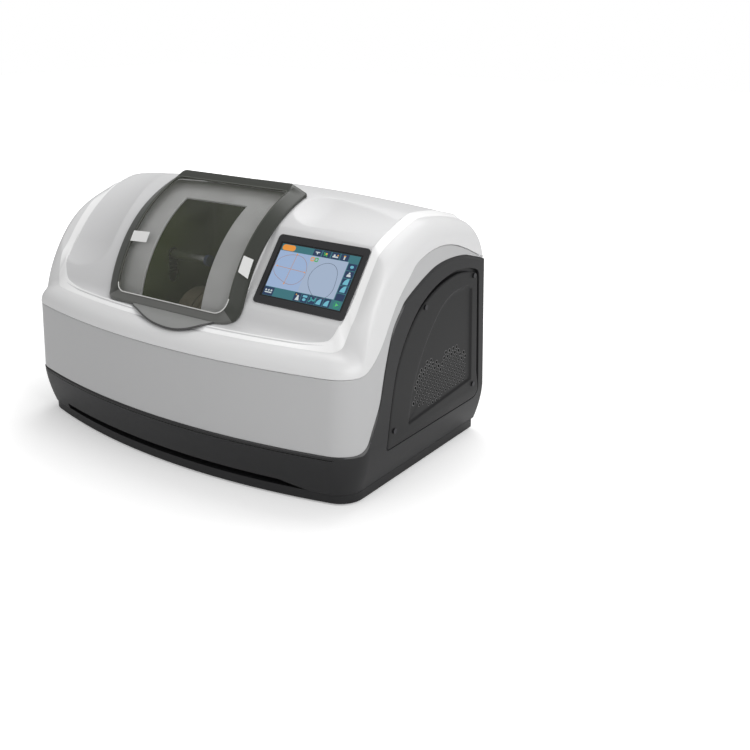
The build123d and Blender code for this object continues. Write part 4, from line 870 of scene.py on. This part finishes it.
def on_screen(u, v, lift=0.15):
    """A point of the picture: u from left to right and v from top to bottom, 0 to 1, lift mm off the glass."""
    x = SCREEN_X + (u - 0.5) * 120
    up = (0.5 - v) * 72 + SCREEN_H / 2
    y = SCREEN_FOOT[0] + up * math.cos(SCREEN_TILT) - (lift - 0.8) * math.sin(SCREEN_TILT)
    z = SCREEN_FOOT[1] + up * math.sin(SCREEN_TILT) + (lift - 0.8) * math.cos(SCREEN_TILT)
    return (x, y, z)


def square(u0, v0, u1, v1):
    return [(u0, v0), (u1, v0), (u1, v1), (u0, v1)]


def disc(u, v, radius, count=28, squash=1.0):
    """A round spot; v is stretched so that it is round on the wide picture."""
    turn = np.linspace(0, 2 * math.pi, count, endpoint=False)
    return [(u + radius * math.cos(a), v + radius * squash * 120 / 72 * math.sin(a)) for a in turn]


def stroke(points, width):
    """A line of even width as quads."""
    quads = []
    for (u0, v0), (u1, v1) in zip(points[:-1], points[1:]):
        du, dv = (u1 - u0) * 120, (v1 - v0) * 72
        size = math.hypot(du, dv)
        nu, nv = -dv / size * width / 2 / 120, du / size * width / 2 / 72
        quads.append([(u0 + nu, v0 + nv), (u1 + nu, v1 + nv), (u1 - nu, v1 - nv), (u0 - nu, v0 - nv)])
    return quads


def lens_shape(u, v, width, height, lean_over):
    """A lens outline: an ellipse flattened at the top and drawn in towards one lower corner."""
    turn = np.linspace(0, 2 * math.pi, 73)
    pull = 1 + 0.10 * np.cos(2 * turn + lean_over) - 0.05 * np.cos(3 * turn)
    return list(zip(u + width / 2 * pull * np.cos(turn), v - height / 2 * pull * np.sin(turn)))


def picture(name, colour, shapes, lift, strength=0.9):
    """Flat shapes of one colour on the glowing picture."""
    points, faces = [], []
    for shape in shapes:
        faces.append(range(len(points), len(points) + len(shape)))
        area = sum(a[0] * b[1] - b[0] * a[1] for a, b in zip(shape, list(shape[1:]) + [shape[0]]))
        points += [on_screen(u, v, lift) for u, v in (shape[::-1] if area > 0 else shape)]
    points = (np.array(points) - [0, BACK, 0]) / 1000.0
    mesh = bpy.data.meshes.new(name)
    mesh.from_pydata(points.tolist(), [], [list(face) for face in faces])
    look = Paint(name, (0, 0, 0), 0.5, Emission_Color=(*colour, 1), Emission_Strength=strength)
    mesh.materials.append(look.material)
    made = bpy.data.objects.new(name, mesh)
    bpy.context.scene.collection.objects.link(made)
    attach(made, "housing")
    return made


teal, navy = (0.038, 0.17, 0.20), (0.012, 0.035, 0.10)
picture("screen_bars", teal, [square(0, 0, 1, 0.13), square(0, 0.83, 1, 1), square(0.88, 0.13, 1, 0.83)], 0.10)
picture("screen_field", (0.34, 0.46, 0.68), [square(0, 0.13, 0.42, 0.83)], 0.10)
picture("screen_field_right", (0.38, 0.47, 0.62), [square(0.42, 0.13, 0.88, 0.83)], 0.10)
buttons = [square(0.42 + 0.115 * k, 0.005, 0.52 + 0.115 * k, 0.125) for k in range(4)]
buttons += [square(0.89, 0.15 + 0.14 * k, 0.995, 0.275 + 0.14 * k) for k in range(5)]
buttons += [square(0.0, 0.84, 0.13, 0.995)]
buttons += [square(0.40 + 0.094 * k, 0.84, 0.485 + 0.094 * k, 0.995) for k in range(5)]
picture("screen_buttons", navy, buttons, 0.16)


def slice_of_lens(u, v, size):
    """A quarter-round sign, like a lens cut through: flat foot and right side, round towards the upper left."""
    turn = np.linspace(math.pi / 2, math.pi, 8)
    arc_points = [(u + size * (1 + math.cos(a)), v - size * 1.9 * math.sin(a)) for a in turn]
    return [(u + size, v)] + arc_points


white_signs = [square(0.445, 0.045, 0.50, 0.062), square(0.465, 0.062, 0.48, 0.09), disc(0.685, 0.055, 0.012, 10),
               square(0.665, 0.07, 0.735, 0.095), square(0.805, 0.05, 0.822, 0.105), square(0.02, 0.93, 0.11, 0.95),
               disc(0.03, 0.90, 0.011, 10), disc(0.065, 0.90, 0.011, 10), disc(0.10, 0.90, 0.011, 10),
               disc(0.45, 0.90, 0.012, 10), [(0.425, 0.975), (0.475, 0.975), (0.462, 0.915), (0.438, 0.915)],
               [(0.915, 0.39), (0.97, 0.39), (0.96, 0.345), (0.925, 0.345)], disc(0.943, 0.325, 0.011, 10)]
picture("screen_signs_white", (0.62, 0.70, 0.72), white_signs, 0.22)
blue_signs = [disc(0.942, 0.21, 0.022, 16, 0.75), slice_of_lens(0.91, 0.54, 0.062), slice_of_lens(0.91, 0.68, 0.062),
              square(0.51, 0.86, 0.565, 0.90), disc(0.537, 0.94, 0.022, 12, 0.7), slice_of_lens(0.69, 0.975, 0.056),
              slice_of_lens(0.784, 0.975, 0.056)]
picture("screen_signs_blue", (0.16, 0.50, 0.62), blue_signs, 0.22)
teal_signs = stroke([(0.60, 0.96), (0.625, 0.91), (0.66, 0.93), (0.67, 0.87)], 2.0) + [disc(0.615, 0.885, 0.011, 10)]
picture("screen_signs_teal", (0.06, 0.34, 0.36), teal_signs, 0.22)
orange_signs = [disc(0.425, 0.875, 0.008, 8), square(0.575, 0.04, 0.595, 0.07), square(0.72, 0.035, 0.735, 0.062),
                square(0.80, 0.03, 0.825, 0.048)]
picture("screen_signs_orange", (0.80, 0.42, 0.06), orange_signs, 0.24)
picture("screen_signs_green", (0.05, 0.40, 0.10), stroke([(0.55, 0.035), (0.60, 0.10)], 1.6)
        + stroke([(0.60, 0.05), (0.555, 0.09)], 1.6), 0.23)
picture("screen_pill", (0.85, 0.32, 0.05), [disc(0.045, 0.065, 0.033, 20), disc(0.15, 0.065, 0.033, 20),
                                          square(0.045, 0.01, 0.15, 0.12)], 0.16)
left_lens = lens_shape(0.225, 0.445, 0.39, 0.59, 0.6)
right_lens = lens_shape(0.665, 0.54, 0.37, 0.60, 2.6)
picture("screen_outline_left", (0.34, 0.22, 0.22), stroke(left_lens, 0.6), 0.22)
picture("screen_outline_right", (0.10, 0.13, 0.19), stroke(right_lens, 0.6), 0.22)
cross = stroke([(0.235, 0.16), (0.215, 0.73)], 0.6) + stroke([(0.04, 0.43), (0.41, 0.46)], 0.6)
picture("screen_cross", (0.55, 0.24, 0.10), cross, 0.24)
picture("screen_spots", (0.80, 0.32, 0.08), [disc(0.235, 0.16, 0.009, 10), disc(0.215, 0.73, 0.009, 10),
                                           disc(0.04, 0.43, 0.009, 10), disc(0.41, 0.46, 0.009, 10)], 0.26)
tab = [(0.425, 0.165), (0.46, 0.165), (0.46, 0.225), (0.425, 0.225), (0.425, 0.165)]
picture("screen_tab_orange", (0.80, 0.32, 0.05), stroke(tab, 1.3), 0.26)
picture("screen_tab_green", (0.05, 0.42, 0.08), stroke([(u + 0.05, v) for u, v in tab], 1.3), 0.26)
ring = disc(0.942, 0.915, 0.038)
picture("screen_start", (0.02, 0.30, 0.14), stroke(ring + ring[:1], 1.0), 0.26)
picture("screen_play", (0.10, 0.55, 0.16), [[(0.925, 0.88), (0.965, 0.915), (0.925, 0.95)]], 0.30)

# ---------------------------------------------------------------- mechanism and rear
# What the hood shows when it is up, and what lies behind the covers: cast aluminium, ground
# steel shafts, diamond wheels, painted motors, moulded liner and the fittings on the rear panel.
olive = Paint("wet chamber liner", (0.052, 0.072, 0.012), 0.5)
steel = Paint("ground steel", (0.62, 0.63, 0.64), 0.25, Metallic=1.0)
cast = Paint("cast aluminium", (0.55, 0.56, 0.57), 0.42, Metallic=1.0)
zinc = Paint("zinc plated sheet", (0.50, 0.52, 0.53), 0.38, Metallic=1.0)
abrasive = Paint("diamond wheel", (0.20, 0.17, 0.12), 0.75)
abrasive.grain(2500.0, 0.0001, 0.8)
belt_rubber = Paint("belt", (0.018, 0.018, 0.018), 0.7)
motor_paint = Paint("motor enamel", (0.05, 0.052, 0.055), 0.45)
pad_rubber = Paint("lens pads", (0.03, 0.05, 0.12), 0.6)
drain_pvc = Paint("drain hose plastic", (0.30, 0.31, 0.32), 0.5)
lamp_white = Paint("lamp cover", (0.85, 0.87, 0.85), 0.3, Emission_Color=(1, 1, 0.95, 1), Emission_Strength=0.3)
board_green = Paint("circuit board", (0.02, 0.12, 0.05), 0.5)
fan_black = Paint("fan plastic", (0.02, 0.02, 0.021), 0.5)
brass = Paint("hose spigots", (0.55, 0.40, 0.18), 0.3, Metallic=1.0)
finishes = {"white_shell": white_abs, "grey_band": grey_abs, "black_case": black_abs, "hood_frame": hood_dark,
            "bezel": bezel_black, "liner": olive, "feet": rubber, "screws": screw_steel, "steel": steel,
            "sheet_steel": zinc, "aluminium": cast, "abrasive": abrasive, "belt": belt_rubber,
            "motor_paint": motor_paint, "pads": pad_rubber, "drain": drain_pvc, "lamp": lamp_white,
            "board": board_green, "power_box": zinc, "fan": fan_black, "rocker": fan_black, "spigot": brass}
shown = {"plinth", "rubber_feet", "case_screws", "hood_hinges", "display_bezel", "display_housing", "display_glass"}
for piece in frame["record"]["subparts"]:
    if piece["node"] not in shown and piece["material_slot"] in finishes:
        paint(finishes[piece["material_slot"]], piece["node"])

# ---------------------------------------------------------------- studio
# A white table top without an edge, a broad soft lamp over the front left and a weaker fill.
white_floor = bpy.data.materials.new("studio floor")
white_floor.use_nodes = True
tree = white_floor.node_tree
base = tree.nodes["Principled BSDF"]
base.inputs["Base Color"].default_value = (0.88, 0.88, 0.88, 1)
base.inputs["Roughness"].default_value = 0.9
base.inputs["Specular IOR Level"].default_value = 0.1
place = tree.nodes.new("ShaderNodeTexCoord")
away = tree.nodes.new("ShaderNodeVectorMath")
away.operation = "LENGTH"
tree.links.new(place.outputs["Object"], away.inputs[0])
rise = tree.nodes.new("ShaderNodeMapRange")
for socket, value in (("From Min", 0.3), ("From Max", 1.1), ("To Min", 0.30), ("To Max", 1.0)):
    rise.inputs[socket].default_value = value
tree.links.new(away.outputs["Value"], rise.inputs["Value"])
path = tree.nodes.new("ShaderNodeLightPath")
lift = tree.nodes.new("ShaderNodeMath")
lift.operation = "MULTIPLY"
tree.links.new(rise.outputs[0], lift.inputs[0])
tree.links.new(path.outputs["Is Camera Ray"], lift.inputs[1])
tree.links.new(lift.outputs[0], base.inputs["Emission Strength"])
base.inputs["Emission Color"].default_value = (1, 1, 1, 1)
ground = bpy.data.meshes.new("studio_floor")
span = 6.0
ground.from_pydata([(-span, -span, 0), (span, -span, 0), (span, span, 0), (-span, span, 0)], [], [(0, 1, 2, 3)])
ground.materials.append(white_floor)
floor = bpy.data.objects.new("studio_floor", ground)
bpy.context.scene.collection.objects.link(floor)

world = bpy.data.worlds.new("studio")
world.use_nodes = True
bpy.context.scene.world = world
sky = world.node_tree
back = sky.nodes["Background"]
back.inputs["Color"].default_value = (1, 1, 1, 1)
back.inputs["Strength"].default_value = 0.40
rays = sky.nodes.new("ShaderNodeLightPath")
bright = sky.nodes.new("ShaderNodeBackground")
bright.inputs["Color"].default_value = (1, 1, 1, 1)
bright.inputs["Strength"].default_value = 1.0
seen = sky.nodes.new("ShaderNodeMath")
seen.operation = "MAXIMUM"
sky.links.new(rays.outputs["Is Camera Ray"], seen.inputs[0])
sky.links.new(rays.outputs["Is Transmission Ray"], seen.inputs[1])
either = sky.nodes.new("ShaderNodeMixShader")
sky.links.new(seen.outputs[0], either.inputs[0])
sky.links.new(back.outputs[0], either.inputs[1])
sky.links.new(bright.outputs[0], either.inputs[2])
sky.links.new(either.outputs[0], sky.nodes["World Output"].inputs["Surface"])

for name, spot, size, power in (("key", (1.9, -0.5, 1.3), 1.3, 20.0), ("front", (-0.3, -1.9, 1.2), 1.6, 6.0),
                                ("top", (-0.2, 0.9, 2.0), 1.6, 22.0)):
    data = bpy.data.lights.new(name, "AREA")
    data.size = size
    data.energy = power
    lamp = bpy.data.objects.new(name, data)
    lamp.location = spot
    aim = Vector((0, 0, 0.15)) - Vector(spot)
    lamp.rotation_euler = aim.to_track_quat("-Z", "Y").to_euler()
    bpy.context.scene.collection.objects.link(lamp)

eye = bpy.data.cameras.new("camera")
eye.lens, eye.sensor_width = 48.0, 36.0
eye.shift_x, eye.shift_y = 0.0733, -0.0267
camera = bpy.data.objects.new("camera", eye)
camera.location = (0.898, -1.0352, 0.5895)
turn, drop = math.radians(36.7), math.radians(19.7)
look = Vector((-math.sin(turn) * math.cos(drop), math.cos(turn) * math.cos(drop), -math.sin(drop)))
camera.rotation_euler = look.to_track_quat("-Z", "Y").to_euler()
bpy.context.scene.collection.objects.link(camera)
bpy.context.scene.camera = camera
bpy.context.scene.view_settings.view_transform = "Standard"
